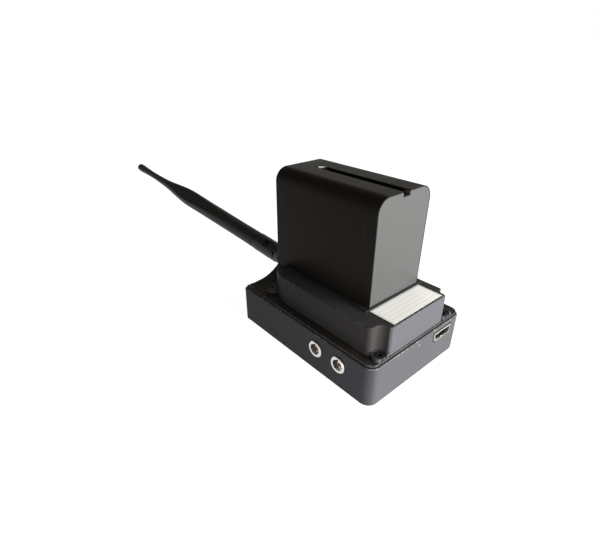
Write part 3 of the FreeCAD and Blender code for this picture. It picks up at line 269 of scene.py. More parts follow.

# %% [markdown]
# ## Effects that many finishes share
#
# *Grain* is the fine roughness of blasted metal or moulded plastic: one noise for the pits and
# a finer one for sparkle. *Tone drift* makes a colour a little lighter and darker over a few
# centimetres. *Handling* varies the roughness where fingers have polished or greased it. *Edge
# rub and highlight* finds the upper and lower edges of a rounded box, where black anodising
# wears to metal first and where the chamfers catch the light, so its pale line is partly wear
# and partly a painted highlight. It measures how far a point lies from the side wall and from
# the top or bottom, and a noise breaks the line up. Each effect is a node group, so that one
# drawing serves many finishes, and each finish gives it its own numbers.


# %% Start and use a group
def start_group(name, inputs, outputs):
    group = bpy.data.node_groups.new(name, "ShaderNodeTree")
    for way, sockets in (("INPUT", inputs), ("OUTPUT", outputs)):
        for label, kind in sockets.items():
            group.interface.new_socket(label, in_out=way, socket_type="NodeSocket" + kind)
    return group, group.nodes.new("NodeGroupInput"), group.nodes.new("NodeGroupOutput")


def use_group(tree, group, feeds):
    node = tree.nodes.new("ShaderNodeGroup")
    node.node_tree = group
    feed(tree, node, feeds)
    return node.outputs[0]


# %% Grain
SPARKLE_FINER = 2.7

grain, grain_in, grain_out = start_group(
    "grain", {"Place": "Vector", "Size": "Float", "Sharpness": "Float"}, {"Height": "Float"})
given = grain_in.outputs
pits_per_metre = calc(grain, "DIVIDE", 1.0, given["Size"])
pits = noise(grain, given["Place"], pits_per_metre, Detail=3.0, Roughness=0.55)
sparkle = add_node(grain, "ShaderNodeTexVoronoi", {
    "Vector": given["Place"], "Scale": calc(grain, "MULTIPLY", pits_per_metre, SPARKLE_FINER)},
    feature="SMOOTH_F1").outputs["Distance"]
height = calc(grain, "ADD", pits, calc(grain, "MULTIPLY", sparkle, given["Sharpness"]))
grain.links.new(height, grain_out.inputs["Height"])
print("grain reads", [socket.name for socket in grain_in.outputs if socket.name])

# %% Tone drift
drift, drift_in, drift_out = start_group(
    "tone drift", {"Place": "Vector", "Colour": "Color", "Amount": "Float", "Size": "Float"},
    {"Colour": "Color"})
given = drift_in.outputs
clouds = noise(drift, given["Place"], calc(drift, "DIVIDE", 1.0, given["Size"]),
               Detail=5.0, Roughness=0.6)
brightness = calc(drift, "MULTIPLY_ADD", calc(drift, "SUBTRACT", clouds, 0.5),
                  given["Amount"], 1.0)
shaded = add_node(drift, "ShaderNodeHueSaturation", {
    "Color": given["Colour"], "Value": brightness})
drift.links.new(shaded.outputs["Color"], drift_out.inputs["Colour"])
print("tone drift reads", [socket.name for socket in drift_in.outputs if socket.name])

# %% Handling
handling, handling_in, handling_out = start_group(
    "handling", {"Place": "Vector", "Roughness": "Float", "Amount": "Float", "Size": "Float"},
    {"Roughness": "Float"})
given = handling_in.outputs
smears = noise(handling, given["Place"], calc(handling, "DIVIDE", 1.0, given["Size"]),
               Detail=6.0, Roughness=0.65, Distortion=0.8)
felt = calc(handling, "MULTIPLY_ADD", calc(handling, "SUBTRACT", smears, 0.5),
            given["Amount"], given["Roughness"], clamp=True)
handling.links.new(felt, handling_out.inputs["Roughness"])
print("handling reads", [socket.name for socket in handling_in.outputs if socket.name])

# %% Edge rub and highlight: how far a point lies from the edge of a box with rounded corners
edge_rub_and_highlight, rub_in, rub_out = start_group(
    "edge rub and highlight", {"Place": "Vector", "Centre": "Vector", "Half size": "Vector",
                 "Corner": "Float", "Width": "Float"}, {"Mask": "Float"})
given = rub_in.outputs
from_centre = vector_calc(edge_rub_and_highlight, "SUBTRACT", given["Place"], given["Centre"])[0]
folded = vector_calc(edge_rub_and_highlight, "ABSOLUTE", from_centre)[0]
past = split(edge_rub_and_highlight, vector_calc(edge_rub_and_highlight, "SUBTRACT", folded, given["Half size"])[0])
past_x = calc(edge_rub_and_highlight, "ADD", past["X"], given["Corner"])
past_y = calc(edge_rub_and_highlight, "ADD", past["Y"], given["Corner"])
round_x = calc(edge_rub_and_highlight, "MAXIMUM", past_x, 0.0)
round_y = calc(edge_rub_and_highlight, "MAXIMUM", past_y, 0.0)
round_part = calc(edge_rub_and_highlight, "SQRT", calc(edge_rub_and_highlight, "MULTIPLY_ADD", round_x, round_x,
                                    calc(edge_rub_and_highlight, "MULTIPLY", round_y, round_y)))
flat_part = calc(edge_rub_and_highlight, "MINIMUM", calc(edge_rub_and_highlight, "MAXIMUM", past_x, past_y), 0.0)
to_wall = calc(edge_rub_and_highlight, "SUBTRACT", calc(edge_rub_and_highlight, "SUBTRACT", given["Corner"], round_part), flat_part)
to_level = calc(edge_rub_and_highlight, "MULTIPLY", past["Z"], -1.0)
to_edge = calc(edge_rub_and_highlight, "MAXIMUM", calc(edge_rub_and_highlight, "ABSOLUTE", to_wall), to_level)
print("edge rub and highlight reads", [socket.name for socket in rub_in.outputs if socket.name])

# %% Edge rub and highlight: a worn and highlighted line with broken sides
CHIPS_PER_METRE = 420.0
CHIP_SPREAD, CHIP_LEAST = 3.2, -0.9

chips = noise(edge_rub_and_highlight, given["Place"], CHIPS_PER_METRE, Detail=6.0, Roughness=0.7)
reach = calc(edge_rub_and_highlight, "MULTIPLY", given["Width"],
             calc(edge_rub_and_highlight, "MULTIPLY_ADD", chips, CHIP_SPREAD, CHIP_LEAST))
mask = calc(edge_rub_and_highlight, "SUBTRACT", 1.0, calc(edge_rub_and_highlight, "DIVIDE", to_edge, reach), clamp=True)
edge_rub_and_highlight.links.new(mask, rub_out.inputs["Mask"])
print("shared effects:", [group.name for group in bpy.data.node_groups])

# %% [markdown]
# ## One helper for a whole finish
#
# Each finish is a Principled shader. Its colour passes through tone drift, its roughness through
# handling, and its normal comes from a bump of the grain. Values that are the same all over the
# part, such as metallic or coat, are typed into the shader's own sockets. Two hooks let a
# finish add a pattern of its own: one changes the colour, the other adds to the height.


# %% Finish helper
def finish(name, colour, roughness, metallic=0.0, specular=0.5, grain_size=0.25 * MM,
           sharpness=0.4, depth=0.01 * MM, tone=0.25, tone_size=14 * MM, touch=0.12,
           touch_size=9 * MM, colour_hook=None, height_hook=None, coat=0.0):
    material = bpy.data.materials.new(name)
    material.use_nodes = True
    tree = material.node_tree
    place = add_node(tree, "ShaderNodeTexCoord").outputs["Object"]
    painted = use_group(tree, drift, {
        "Place": place, "Colour": (*colour, 1.0), "Amount": tone, "Size": tone_size})
    felt = use_group(tree, handling, {
        "Place": place, "Roughness": roughness, "Amount": touch, "Size": touch_size})
    height = use_group(tree, grain, {
        "Place": place, "Size": grain_size, "Sharpness": sharpness})
    if colour_hook:
        painted = colour_hook(tree, place, painted)
    if height_hook:
        height = height_hook(tree, place, height)
    relief = add_node(tree, "ShaderNodeBump", {
        "Height": height, "Distance": depth, "Strength": 1.0}).outputs["Normal"]
    feed(tree, tree.nodes["Principled BSDF"], {
        "Metallic": metallic, "Specular IOR Level": specular, "Coat Weight": coat,
        "Base Color": painted, "Roughness": felt, "Normal": relief})
    return material


def dress(material, *names):
    for name in names:
        slots = nodes[name].data.materials
        slots.clear()
        slots.append(material)
    print(material.name, "on", ", ".join(names))


# %% [markdown]
# ## The milled metal: blasted and anodised charcoal
#
# The base and the cover are machined from aluminium, blasted with fine beads and anodised nearly
# black. Blasting leaves an even matt skin with a faint sparkle. Anodising follows it, so the
# finish is a little metallic and its colour hardly varies. The end faces, which look at the soft
# box, get a painted highlight: they are painted paler. The base's upper face, which shows only
# in the seam, and the cover plate's upper face get a painted shade: they are painted dark. The
# chamfered edges are the first places where the black rubs thin, and they also catch the light,
# so both parts use edge rub and highlight, whose pale line is partly wear and partly a painted
# highlight: the base once, the cover once for its plate and once for its raised block. Painting
# the wear by hand would look as good, but it would need an image for every part.

# %% Where the worn and highlighted edges are
base_low, base_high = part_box("base_housing")
cover_low, cover_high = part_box("top_cover")
plate_height = 23.9 * MM
# Lowest corner, highest corner, radius of the upright corners, width of the worn and highlighted
# line. The block's lowest corner lies far below it, so that only its upper edge is found.
worn_and_highlit_boxes = {
    "base": (base_low, base_high, 5.5 * MM, 0.55 * MM),
    "plate": (Vector((cover_low.x + 0.5 * MM, cover_low.y, 0.0)),
              Vector((cover_high.x, cover_high.y, plate_height)), 4.5 * MM, 0.30 * MM),
    "block": (mm(-38.9, -31.0, -20.0), Vector((47.2 * MM, 24.5 * MM, cover_high.z)),
              3.0 * MM, 0.35 * MM),
}


def wear_and_highlight_mask(tree, place, name):
    low, high, corner, width = worn_and_highlit_boxes[name]
    return use_group(tree, edge_rub_and_highlight, {
        "Place": place, "Centre": (low + high) / 2, "Half size": (high - low) / 2,
        "Corner": corner, "Width": width})


for name, (low, high, corner, width) in worn_and_highlit_boxes.items():
    print(name, "worn edges up to", round(high.z / MM, 1), "mm")

# %% Worn and highlighted edges, painted highlight on the end faces
# Worn edges and painted highlight: the edge colour is partly bare metal, partly a painted
# highlight on the chamfers.
BARE_METAL_AND_HIGHLIGHT = (0.42, 0.42, 0.43, 1.0)
# Painted highlight: the end faces are painted paler where the soft box at the end lights them.
BASE_END_HIGHLIGHT, COVER_END_HIGHLIGHT = (0.058, 0.058, 0.062, 1.0), (0.067, 0.068, 0.072, 1.0)
# Painted shade: the seam and the cover plate's upper face are painted dark.
SEAM_SHADE, PLATE_SHADE = (0.008, 0.008, 0.008, 1.0), (0.022, 0.019, 0.016, 1.0)
BASE_WEAR_AND_HIGHLIGHT, COVER_WEAR_AND_HIGHLIGHT = 0.55, 0.5
# How far the end faces lie inside the boxes, and how soft their borders are.
BASE_END_INSET, COVER_END_INSET, END_BLEND = 0.4 * MM, 1.7 * MM, 0.5 * MM
# How far the seam, the plate's upper face and the foot of the block reach up or down.
SEAM_DEPTH, PLATE_SKIN, BLOCK_FOOT = 0.04 * MM, 0.05 * MM, 0.1 * MM


def end_highlight_mask(tree, axes, wall):
    return ease(tree, axes["X"], wall - END_BLEND, wall)


def base_wear_and_painted_light(tree, place, painted):
    axes = split(tree, place)
    # Painted highlight on the base's end face.
    end_highlighted = mix_colour(tree, end_highlight_mask(tree, axes, base_high.x - BASE_END_INSET), painted,
                      BASE_END_HIGHLIGHT)
    # Worn edges with a painted highlight on the base.
    worn_and_highlit_edges = wear_and_highlight_mask(tree, place, "base")
    worn_and_highlit = mix_colour(tree, calc(tree, "MULTIPLY", worn_and_highlit_edges, BASE_WEAR_AND_HIGHLIGHT), end_highlighted, BARE_METAL_AND_HIGHLIGHT)
    # Painted shade in the seam.
    in_seam = calc(tree, "GREATER_THAN", axes["Z"], base_high.z - SEAM_DEPTH)
    return mix_colour(tree, in_seam, worn_and_highlit, SEAM_SHADE)


def cover_wear_and_painted_light(tree, place, painted):
    axes = split(tree, place)
    on_plate = calc(tree, "COMPARE", axes["Z"], plate_height, PLATE_SKIN)
    above_plate = calc(tree, "GREATER_THAN", axes["Z"], plate_height + BLOCK_FOOT)
    # Painted highlight on the block's end face.
    at_end = all_of(tree, end_highlight_mask(tree, axes, cover_high.x - COVER_END_INSET), above_plate)
    # Painted shade on the plate's upper face.
    shaded = mix_colour(tree, on_plate, painted, PLATE_SHADE)
    end_highlighted = mix_colour(tree, at_end, shaded, COVER_END_HIGHLIGHT)
    # Worn edges with a painted highlight on the plate and the block.
    worn_and_highlit_edges = any_of(tree, wear_and_highlight_mask(tree, place, "plate"), wear_and_highlight_mask(tree, place, "block"))
    return mix_colour(tree, calc(tree, "MULTIPLY", worn_and_highlit_edges, COVER_WEAR_AND_HIGHLIGHT), end_highlighted, BARE_METAL_AND_HIGHLIGHT)


print("base's end face at x", round((base_high.x - BASE_END_INSET) / MM, 1), "mm, cover's at",
      round((cover_high.x - COVER_END_INSET) / MM, 1), "mm")


# %% Anodised finishes
anodised_base = finish(
    "anodised base", (0.047, 0.0465, 0.051), 0.42, metallic=0.10, specular=0.03,
    grain_size=0.16 * MM, sharpness=0.7, depth=0.008 * MM, tone=0.18, touch=0.10,
    colour_hook=base_wear_and_painted_light)
anodised_cover = finish(
    "anodised cover", (0.033, 0.031, 0.030), 0.44, metallic=0.10, specular=0.03,
    grain_size=0.16 * MM, sharpness=0.7, depth=0.008 * MM, tone=0.2, touch=0.12,
    colour_hook=cover_wear_and_painted_light)
dress(anodised_base, "base_housing")
dress(anodised_cover, "top_cover")

# %% [markdown]
# ## Rubber, screws and small metal parts
#
# The gasket is black rubber. The cover screws are blackened steel, oily rather than painted, so
# they are darker and shinier than the cover. The small edge screws and the hinge pin are plain
# dark steel. Contacts are gold over nickel, nuts and washers are satin nickel, and the shield
# can is tinned. Such small parts need no pattern of their own: the shared grain, drift and
# handling, at the size of the part, keep them from looking like plain paint.

# %% Small finishes
rubber = finish("seam rubber", (0.012, 0.012, 0.012), 0.72, specular=0.3,
                grain_size=0.3 * MM, depth=0.02 * MM)
black_steel = finish("blackened steel", (0.030, 0.030, 0.033), 0.34, metallic=0.7,
                     grain_size=0.12 * MM, depth=0.006 * MM, tone=0.5, touch=0.2,
                     touch_size=2 * MM)
dark_steel = finish("dark steel", (0.09, 0.09, 0.095), 0.36, metallic=0.85,
                    grain_size=0.12 * MM, depth=0.005 * MM, tone=0.4, touch=0.2)
gold = finish("contact gold", (0.83, 0.58, 0.22), 0.24, metallic=1.0,
              grain_size=0.1 * MM, depth=0.003 * MM, tone=0.15, touch=0.1)
tin = finish("bright tin", (0.62, 0.62, 0.60), 0.3, metallic=1.0,
             grain_size=0.2 * MM, depth=0.004 * MM, tone=0.15, touch=0.18)
nickel = finish("satin nickel", (0.60, 0.58, 0.52), 0.3, metallic=1.0,
                grain_size=0.1 * MM, depth=0.004 * MM, tone=0.2, touch=0.15,
                touch_size=3 * MM)
print("small finishes:", [made.name for made in (rubber, black_steel, dark_steel, gold, tin,
                                                 nickel)])

# %% Dress the small parts
dress(rubber, "cover_gasket")
dress(black_steel, "cover_screws")
dress(dark_steel, "edge_screws", "plate_screws", "board_screws", "antenna_hinge_pin")
dress(gold, "plate_terminal_pins", "battery_terminals", "video_socket_contacts",
      "power_header", "radio_coax_plug", "round_socket_1_contacts",
      "round_socket_2_contacts", "antenna_jack_pin")
dress(nickel, "battery_cell_tabs", "antenna_jack_washer", "antenna_jack_nut",
      "antenna_jack_body")
dress(tin, "radio_shield_can", "power_capacitors", "power_amplifier")

# %% [markdown]
# ## The battery
#
# The battery's case is moulded in black plastic with a spark-eroded texture, finer and glossier
# than the blasted metal. A small white triangle is printed on top, and each flank has two
# faint raised arcs for the fingers. Both could be modelled, but a print has no thickness, and
# the arcs are lower than a tenth of a millimetre. So one is a mask on the colour and the other
# a ridge in the bump, measured from the case itself. The end cap is a paler grey moulding whose
# flow leaves faint upright streaks: a noise that is stretched along its height.

# %% Slide arrow on the battery
case_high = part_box("battery_case")[1]
TOP_SKIN = 0.2 * MM
ARROW_TIP_X, ARROW_LENGTH, ARROW_FLARE = -28.0 * MM, 3.9 * MM, 0.6
PRINT_WHITE = (0.60, 0.59, 0.56, 1.0)


def slide_arrow(tree, place, painted):
    """A printed triangle that points the way the battery slides on."""
    axes = split(tree, place)
    from_tip = calc(tree, "SUBTRACT", axes["X"], ARROW_TIP_X)
    beside = calc(tree, "ABSOLUTE", axes["Y"])
    wedge = calc(tree, "LESS_THAN", beside, calc(tree, "MULTIPLY", from_tip, ARROW_FLARE))
    short = calc(tree, "LESS_THAN", from_tip, ARROW_LENGTH)
    on_top = calc(tree, "GREATER_THAN", axes["Z"], case_high.z - TOP_SKIN)
    return mix_colour(tree, all_of(tree, wedge, short, on_top), painted, PRINT_WHITE)


print("battery top at", round(case_high.z / MM, 2), "mm")

# %% Grip arcs on the battery
ARC_RADIUS, ARC_CENTRE_Z = 6.9 * MM, 77.25 * MM
ARC_CREST, ARC_FOOT = 0.25 * MM, 0.65 * MM
ARC_LEAST_REACH = 5.1 * MM
ARC_RELIEF = 14.0
FLANK_SKIN = 0.6 * MM
# The middle of each arc along X, and the way it bulges.
ARCS = {-28.4 * MM: -1.0, 17.4 * MM: 1.0}


def grip_arcs(tree, place, height):
    """Two faint raised arcs on each flank, bulging away from each other."""
    axes = split(tree, place)
    on_flank = calc(tree, "GREATER_THAN", calc(tree, "ABSOLUTE", axes["Y"]),
                    case_high.y - FLANK_SKIN)
    for centre_x, way in ARCS.items():
        across = calc(tree, "SUBTRACT", axes["X"], centre_x)
        up = calc(tree, "SUBTRACT", axes["Z"], ARC_CENTRE_Z)
        radius = calc(tree, "SQRT", calc(tree, "MULTIPLY_ADD", across, across,
                                         calc(tree, "MULTIPLY", up, up)))
        from_arc = calc(tree, "ABSOLUTE", calc(tree, "SUBTRACT", radius, ARC_RADIUS))
        ridge = ease(tree, from_arc, ARC_CREST, ARC_FOOT, 1.0, 0.0, way="LINEAR")
        outer = calc(tree, "GREATER_THAN", calc(tree, "MULTIPLY", across, way),
                     ARC_LEAST_REACH)
        raised = all_of(tree, ridge, outer, on_flank)
        height = calc(tree, "MULTIPLY_ADD", raised, ARC_RELIEF, height)
    return height


print("grip arcs centred at x", [round(centre_x / MM, 1) for centre_x in ARCS], "mm")

# %% Battery finishes
STREAK_PALE = (0.060, 0.060, 0.059, 1.0)
STREAKS_PER_METRE, STREAK_STRETCH, STREAK_STRENGTH = 520.0, 0.05, 0.22


def upright_streaks(tree, place, painted):
    stretched = add_node(tree, "ShaderNodeMapping", {
        "Vector": place, "Scale": (1.0, 1.0, STREAK_STRETCH)}).outputs["Vector"]
    streaks = noise(tree, stretched, STREAKS_PER_METRE, Detail=4.0)
    return mix_colour(tree, calc(tree, "MULTIPLY", streaks, STREAK_STRENGTH), painted,
                      STREAK_PALE)


battery_black = finish(
    "battery black", (0.0100, 0.0082, 0.0066), 0.40, specular=0.05, grain_size=0.20 * MM,
    sharpness=0.9, depth=0.014 * MM, tone=0.35, tone_size=18 * MM, touch=0.16,
    touch_size=14 * MM, colour_hook=slide_arrow, height_hook=grip_arcs)
battery_grey = finish(
    "battery grey", (0.038, 0.038, 0.037), 0.46, specular=0.3, grain_size=0.22 * MM,
    sharpness=0.6, depth=0.010 * MM, tone=0.12, tone_size=20 * MM, touch=0.12,
    colour_hook=upright_streaks)
dress(battery_black, "battery_case")
dress(battery_grey, "battery_end_cap")

# %% [markdown]
# ## Battery plate and aerial
#
# The battery plate, the fork and the aerial's tube are plain black mouldings. They differ only
# in how they were used: the tube is softer and picks up dust and grease in patches, the fork
# is rubbed glossier by the fingers that turn it, and the plate is hidden and stays even. The
# coupling collar is metal with a black plating, so it alone mirrors the lamps.

# %% Plate and aerial finishes
plate_black = finish(
    "plate black", (0.012, 0.012, 0.012), 0.48, specular=0.25, grain_size=0.25 * MM,
    sharpness=0.6, depth=0.014 * MM, tone=0.3)
whip_black = finish(
    "whip black", (0.014, 0.0135, 0.013), 0.48, specular=0.25, grain_size=0.18 * MM,
    sharpness=0.5, depth=0.010 * MM, tone=0.4, tone_size=10 * MM, touch=0.2,
    touch_size=7 * MM)
hinge_black = finish(
    "hinge black", (0.014, 0.014, 0.014), 0.40, specular=0.3, grain_size=0.16 * MM,
    depth=0.008 * MM, tone=0.4, touch=0.2, touch_size=4 * MM)
collar_black = finish(
    "black plated collar", (0.035, 0.034, 0.033), 0.32, metallic=0.6, grain_size=0.12 * MM,
    depth=0.006 * MM, tone=0.5, touch=0.2, touch_size=3 * MM)
dress(plate_black, "battery_plate", "plate_terminal_block")
dress(whip_black, "antenna_radome")
dress(hinge_black, "antenna_fork", "antenna_elbow")
dress(collar_black, "antenna_coupling_collar")

# %% [markdown]
# ## Sockets and status light
#
# Each round socket has a bright turned ring with an olive insulating insert inside it. The
# video socket has a plated shell round a dark tongue. Its throat is deep and narrow, so hardly
# any light comes back out of it, and the gap round its far and lower sides is as dark. Plain
# nickel would catch the lamps in there, so a colour mask keeps only the rim bright. The status
# light is a small milky lens, switched off.

# %% Round sockets, tongue and light
ring_silver = finish(
    "turned ring", (0.62, 0.61, 0.60), 0.24, metallic=1.0, grain_size=0.1 * MM,
    depth=0.004 * MM, tone=0.12, touch=0.12, touch_size=2 * MM)
insert_olive = finish(
    "olive insert", (0.060, 0.052, 0.030), 0.42, specular=0.5, grain_size=0.15 * MM,
    depth=0.008 * MM, tone=0.4, tone_size=2 * MM)
tongue_dark = finish(
    "dark tongue", (0.012, 0.0115, 0.009), 0.45, specular=0.3, grain_size=0.15 * MM,
    depth=0.008 * MM)
milky_lens = finish(
    "milky lens", (0.135, 0.135, 0.14), 0.3, specular=0.2, grain_size=0.2 * MM,
    depth=0.004 * MM, tone=0.1)
dress(ring_silver, "round_socket_1_shell", "round_socket_2_shell", "round_socket_1_nut",
      "round_socket_2_nut")
dress(insert_olive, "round_socket_1_insert", "round_socket_2_insert")
dress(tongue_dark, "video_socket_tongue")
dress(milky_lens, "status_light")

# %% Video socket shell, dark inside
shell_low, shell_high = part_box("video_socket_shell")
shell_middle = (shell_low + shell_high) / 2
RIM_DEPTH, GAP_WIDTH = 0.35 * MM, 0.42 * MM
THROAT_SHADE = (0.018, 0.017, 0.010, 1.0)


def dark_throat(tree, place, painted):
    axes = split(tree, place)
    within = calc(tree, "LESS_THAN", axes["X"], shell_high.x - RIM_DEPTH)
    far_side = calc(tree, "GREATER_THAN", axes["Y"], shell_high.y - GAP_WIDTH)
    under = calc(tree, "LESS_THAN", axes["Z"], shell_low.z + GAP_WIDTH)
    return mix_colour(tree, any_of(tree, within, far_side, under), painted, THROAT_SHADE)


dull_shell = finish(
    "dull shell", (0.34, 0.335, 0.30), 0.34, metallic=0.8, grain_size=0.1 * MM,
    depth=0.004 * MM, tone=0.2, colour_hook=dark_throat)
dress(dull_shell, "video_socket_shell")
print("video socket middle", [round(value / MM, 2) for value in shell_middle])

# %% [markdown]
# ## Label
#
# The label is a pale film that carries no words: only a thin printed frame and a few blank
# ruled lines. They could be an image, but lines that are drawn from the distance to the label's
# own edges stay sharp at any size and follow the label when it changes. Its cut edges and the
# strip beyond its end get a painted shade, as in a shallow recess, in the ink's dark colour.

# %% Label film
label_low, label_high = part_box("label_plate")
label_middle = (label_low + label_high) / 2
label_half = (label_high - label_low) / 2
FRAME_INSET, FRAME_HALF_LINE = 0.8 * MM, 0.10 * MM
HALF_PITCH, RULE_HALF_LINE = 1.3 * MM, 0.07 * MM
RULED_INSET, RULED_STRENGTH = 2.2 * MM, 0.55
CUT_EDGE, END_STRIP = 0.15 * MM, 0.7 * MM
# Ink for the print, and the same dark colour for the painted shade at the label's edges.
INK_AND_SHADE = (0.02, 0.02, 0.02, 1.0)


def printed_lines_and_shade(tree, place, painted):
    axes = split(tree, vector_calc(tree, "SUBTRACT", place, label_middle)[0])
    gaps = [calc(tree, "SUBTRACT", half, calc(tree, "ABSOLUTE", axes[name]))
            for name, half in (("X", label_half.x), ("Y", label_half.y))]
    to_edge = calc(tree, "MINIMUM", *gaps)
    frame_line = calc(tree, "COMPARE", to_edge, FRAME_INSET, FRAME_HALF_LINE)
    to_rule = calc(tree, "PINGPONG", calc(tree, "ADD", axes["X"], HALF_PITCH), HALF_PITCH)
    ruled = all_of(tree, calc(tree, "LESS_THAN", to_rule, RULE_HALF_LINE),
                   calc(tree, "GREATER_THAN", to_edge, RULED_INSET), RULED_STRENGTH)
    # Painted shade on the cut edges and on the strip beyond the label's end.
    cut_edge = calc(tree, "LESS_THAN", to_edge, CUT_EDGE)
    end_strip = calc(tree, "GREATER_THAN", axes["X"], label_half.x - END_STRIP)
    ink_and_shade = any_of(tree, frame_line, cut_edge, end_strip, ruled)
    return mix_colour(tree, ink_and_shade, painted, INK_AND_SHADE)


label_film = finish(
    "label film", (0.80, 0.79, 0.74), 0.38, specular=0.5, grain_size=0.5 * MM,
    sharpness=0.1, depth=0.006 * MM, tone=0.10, tone_size=9 * MM, touch=0.14,
    colour_hook=printed_lines_and_shade)
dress(label_film, "label_plate")

# %% [markdown]
# ## Tools for the small pieces that the solids leave out
#
# Four kinds of small piece finish the visible side: seat rings, key ribs, a rolled lip and leaf
# springs. A few corners and a spin, an inset or a bevel say each shape exactly, so each starts
# as a bmesh. It then becomes a mesh with its place in it, and is told which body it rides on.
# From here on the sizes of pieces are in millimetres.


# %% Turn a bmesh into a piece that rides
def piece_from(shape, name, material, smooth=True):
    mesh = bpy.data.meshes.new(name)
    bmesh.ops.recalc_face_normals(shape, faces=shape.faces)
    shape.to_mesh(mesh)
    shape.free()
    for face in mesh.polygons:
        face.use_smooth = smooth
    piece = bpy.data.objects.new(name, mesh)
    bpy.context.scene.collection.objects.link(piece)
    mesh.materials.append(material)
    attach(piece, "transmitter")


# %% Spun and bevelled shapes
def lathe(profile, centre, axis, segments=64):
    """Spin a closed outline of (radius, along) points round an axis through a centre."""
    shape = bmesh.new()
    corners = [shape.verts.new(mm(radius, 0.0, along)) for radius, along in profile]
    edges = [shape.edges.new((a, b)) for a, b in zip(corners, corners[1:] + corners[:1])]
    bmesh.ops.spin(shape, geom=corners + edges, axis=(0, 0, 1), cent=(0, 0, 0),
                   angle=2 * math.pi, steps=segments, use_merge=True)
    turn = Vector((0, 0, 1)).rotation_difference(axis).to_matrix().to_4x4()
    bmesh.ops.transform(shape, matrix=Matrix.Translation(centre) @ turn, verts=shape.verts)
    return shape


def bevelled_block(size, bevel, centre, lean=0.0):
    """A box with round edges, leaned about the Y axis and then moved to its centre."""
    shape = bmesh.new()
    bmesh.ops.create_cube(shape, size=1.0)
    bmesh.ops.scale(shape, vec=mm(*size), verts=shape.verts)
    bmesh.ops.bevel(shape, geom=shape.edges[:], offset=bevel * MM, segments=3, profile=0.5,
                    affect="EDGES", material=-1)
    bmesh.ops.rotate(shape, cent=(0, 0, 0), matrix=Matrix.Rotation(-lean, 3, "Y"),
                     verts=shape.verts)
    bmesh.ops.translate(shape, vec=centre, verts=shape.verts)
    return shape


# %% [markdown]
# ## Seat rings behind the round sockets
#
# Each round socket sits on a thin dark ring, which shows as a line round its flange and seals
# the hole in the wall. A torus would be quick, but a real seat ring has a flat back and a sloped
# shoulder, so five corners of its section are spun round the socket's axis.

# %% Seat ring behind a round socket
seat_black = finish("seat black", (0.010, 0.010, 0.010), 0.6, specular=0.2,
                    grain_size=0.2 * MM)
SEAT_UNDER, SEAT_BEYOND, SEAT_CREST = 0.3, 0.35, 0.2
SEAT_SUNK, SEAT_SIDE, SEAT_PROUD = -0.05, 0.12, 0.25


def add_seat_ring(number):
    low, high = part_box(f"round_socket_{number}_shell")
    flange = (high.x - low.x) / 2 / MM
    seat = lathe([(flange - SEAT_UNDER, SEAT_SUNK), (flange + SEAT_BEYOND, SEAT_SUNK),
                  (flange + SEAT_BEYOND, SEAT_SIDE), (flange + SEAT_CREST, SEAT_PROUD),
                  (flange - SEAT_UNDER, SEAT_PROUD)],
                 Vector(((low.x + high.x) / 2, base_low.y, (low.z + high.z) / 2)),
                 Vector((0, -1, 0)))
    piece_from(seat, f"round_socket_{number}_seat_ring", seat_black)
    print("seat ring", number, "outside radius", round(flange + SEAT_BEYOND, 2), "mm")


# %% [markdown]
# ## Key ribs inside the round sockets
#
# A small rib on the upper inner wall lets a plug go in one way only. It is a short bar, so a cube
# with its edges bevelled does for it. The bar leans with the wall that it stands on, and its back
# is sunk into that wall.

# %% Key rib inside a round socket
RIB_ANGLE = math.radians(52)
RIB_SIZE, RIB_BEVEL = (0.9, 2.6, 0.8), 0.12
RIB_INSET, RIB_DEPTH = 0.15, 2.6


def add_key_rib(number):
    low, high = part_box(f"round_socket_{number}_shell")
    insert_low, insert_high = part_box(f"round_socket_{number}_insert")
    reach = (insert_high.x - insert_low.x) / 2 / MM - RIB_INSET
    rib_place = (Vector(((low.x + high.x) / 2, low.y, (low.z + high.z) / 2))
                 + mm(reach * math.cos(RIB_ANGLE), RIB_DEPTH, reach * math.sin(RIB_ANGLE)))
    piece_from(bevelled_block(RIB_SIZE, RIB_BEVEL, rib_place, RIB_ANGLE),
               f"round_socket_{number}_key_rib", ring_silver, smooth=False)
    print("key rib", number, "stands", round(reach, 2), "mm from its socket's axis")


for number in (1, 2):
    add_seat_ring(number)
    add_key_rib(number)

# %% [markdown]
# ## Rolled lip of the video socket
#
# The shell's sheet is folded round its mouth, which shows as a bright frame with two cut lower
# corners. One outline is drawn four times, at two insets and two depths, and each loop is joined
# to the next by a ring of six flat faces, as the sheet goes round its fold. Bridging the loops
# twists the frame, because the loops lie so close together, and a bevelled curve would round its
# corners, which are sharp in sheet metal.

# %% Rolled lip round the video socket's mouth
rolled_nickel = finish("rolled nickel", (0.36, 0.355, 0.32), 0.36, metallic=0.8,
                       grain_size=0.1 * MM, depth=0.004 * MM, tone=0.2)
shell_half = (shell_high - shell_low) / 2 / MM
MOUTH_CUT = 2.0
# An inset of 1 shortens the side of a 45 degree corner by 2 - sqrt(2).
CUT_SHRINK = 0.586
LIP_OUTSIDE, LIP_INSIDE, LIP_DEPTH = 0.5, 0.92, 1.2


def mouth_outline(inset):
    """Corners of the mouth, clockwise from the upper near one, with two cut lower corners."""
    wide, tall = shell_half.y - inset, shell_half.z - inset
    cut = MOUTH_CUT - CUT_SHRINK * inset
    return [(-wide, tall), (wide, tall), (wide, cut - tall), (wide - cut, -tall),
            (cut - wide, -tall), (-wide, cut - tall)]


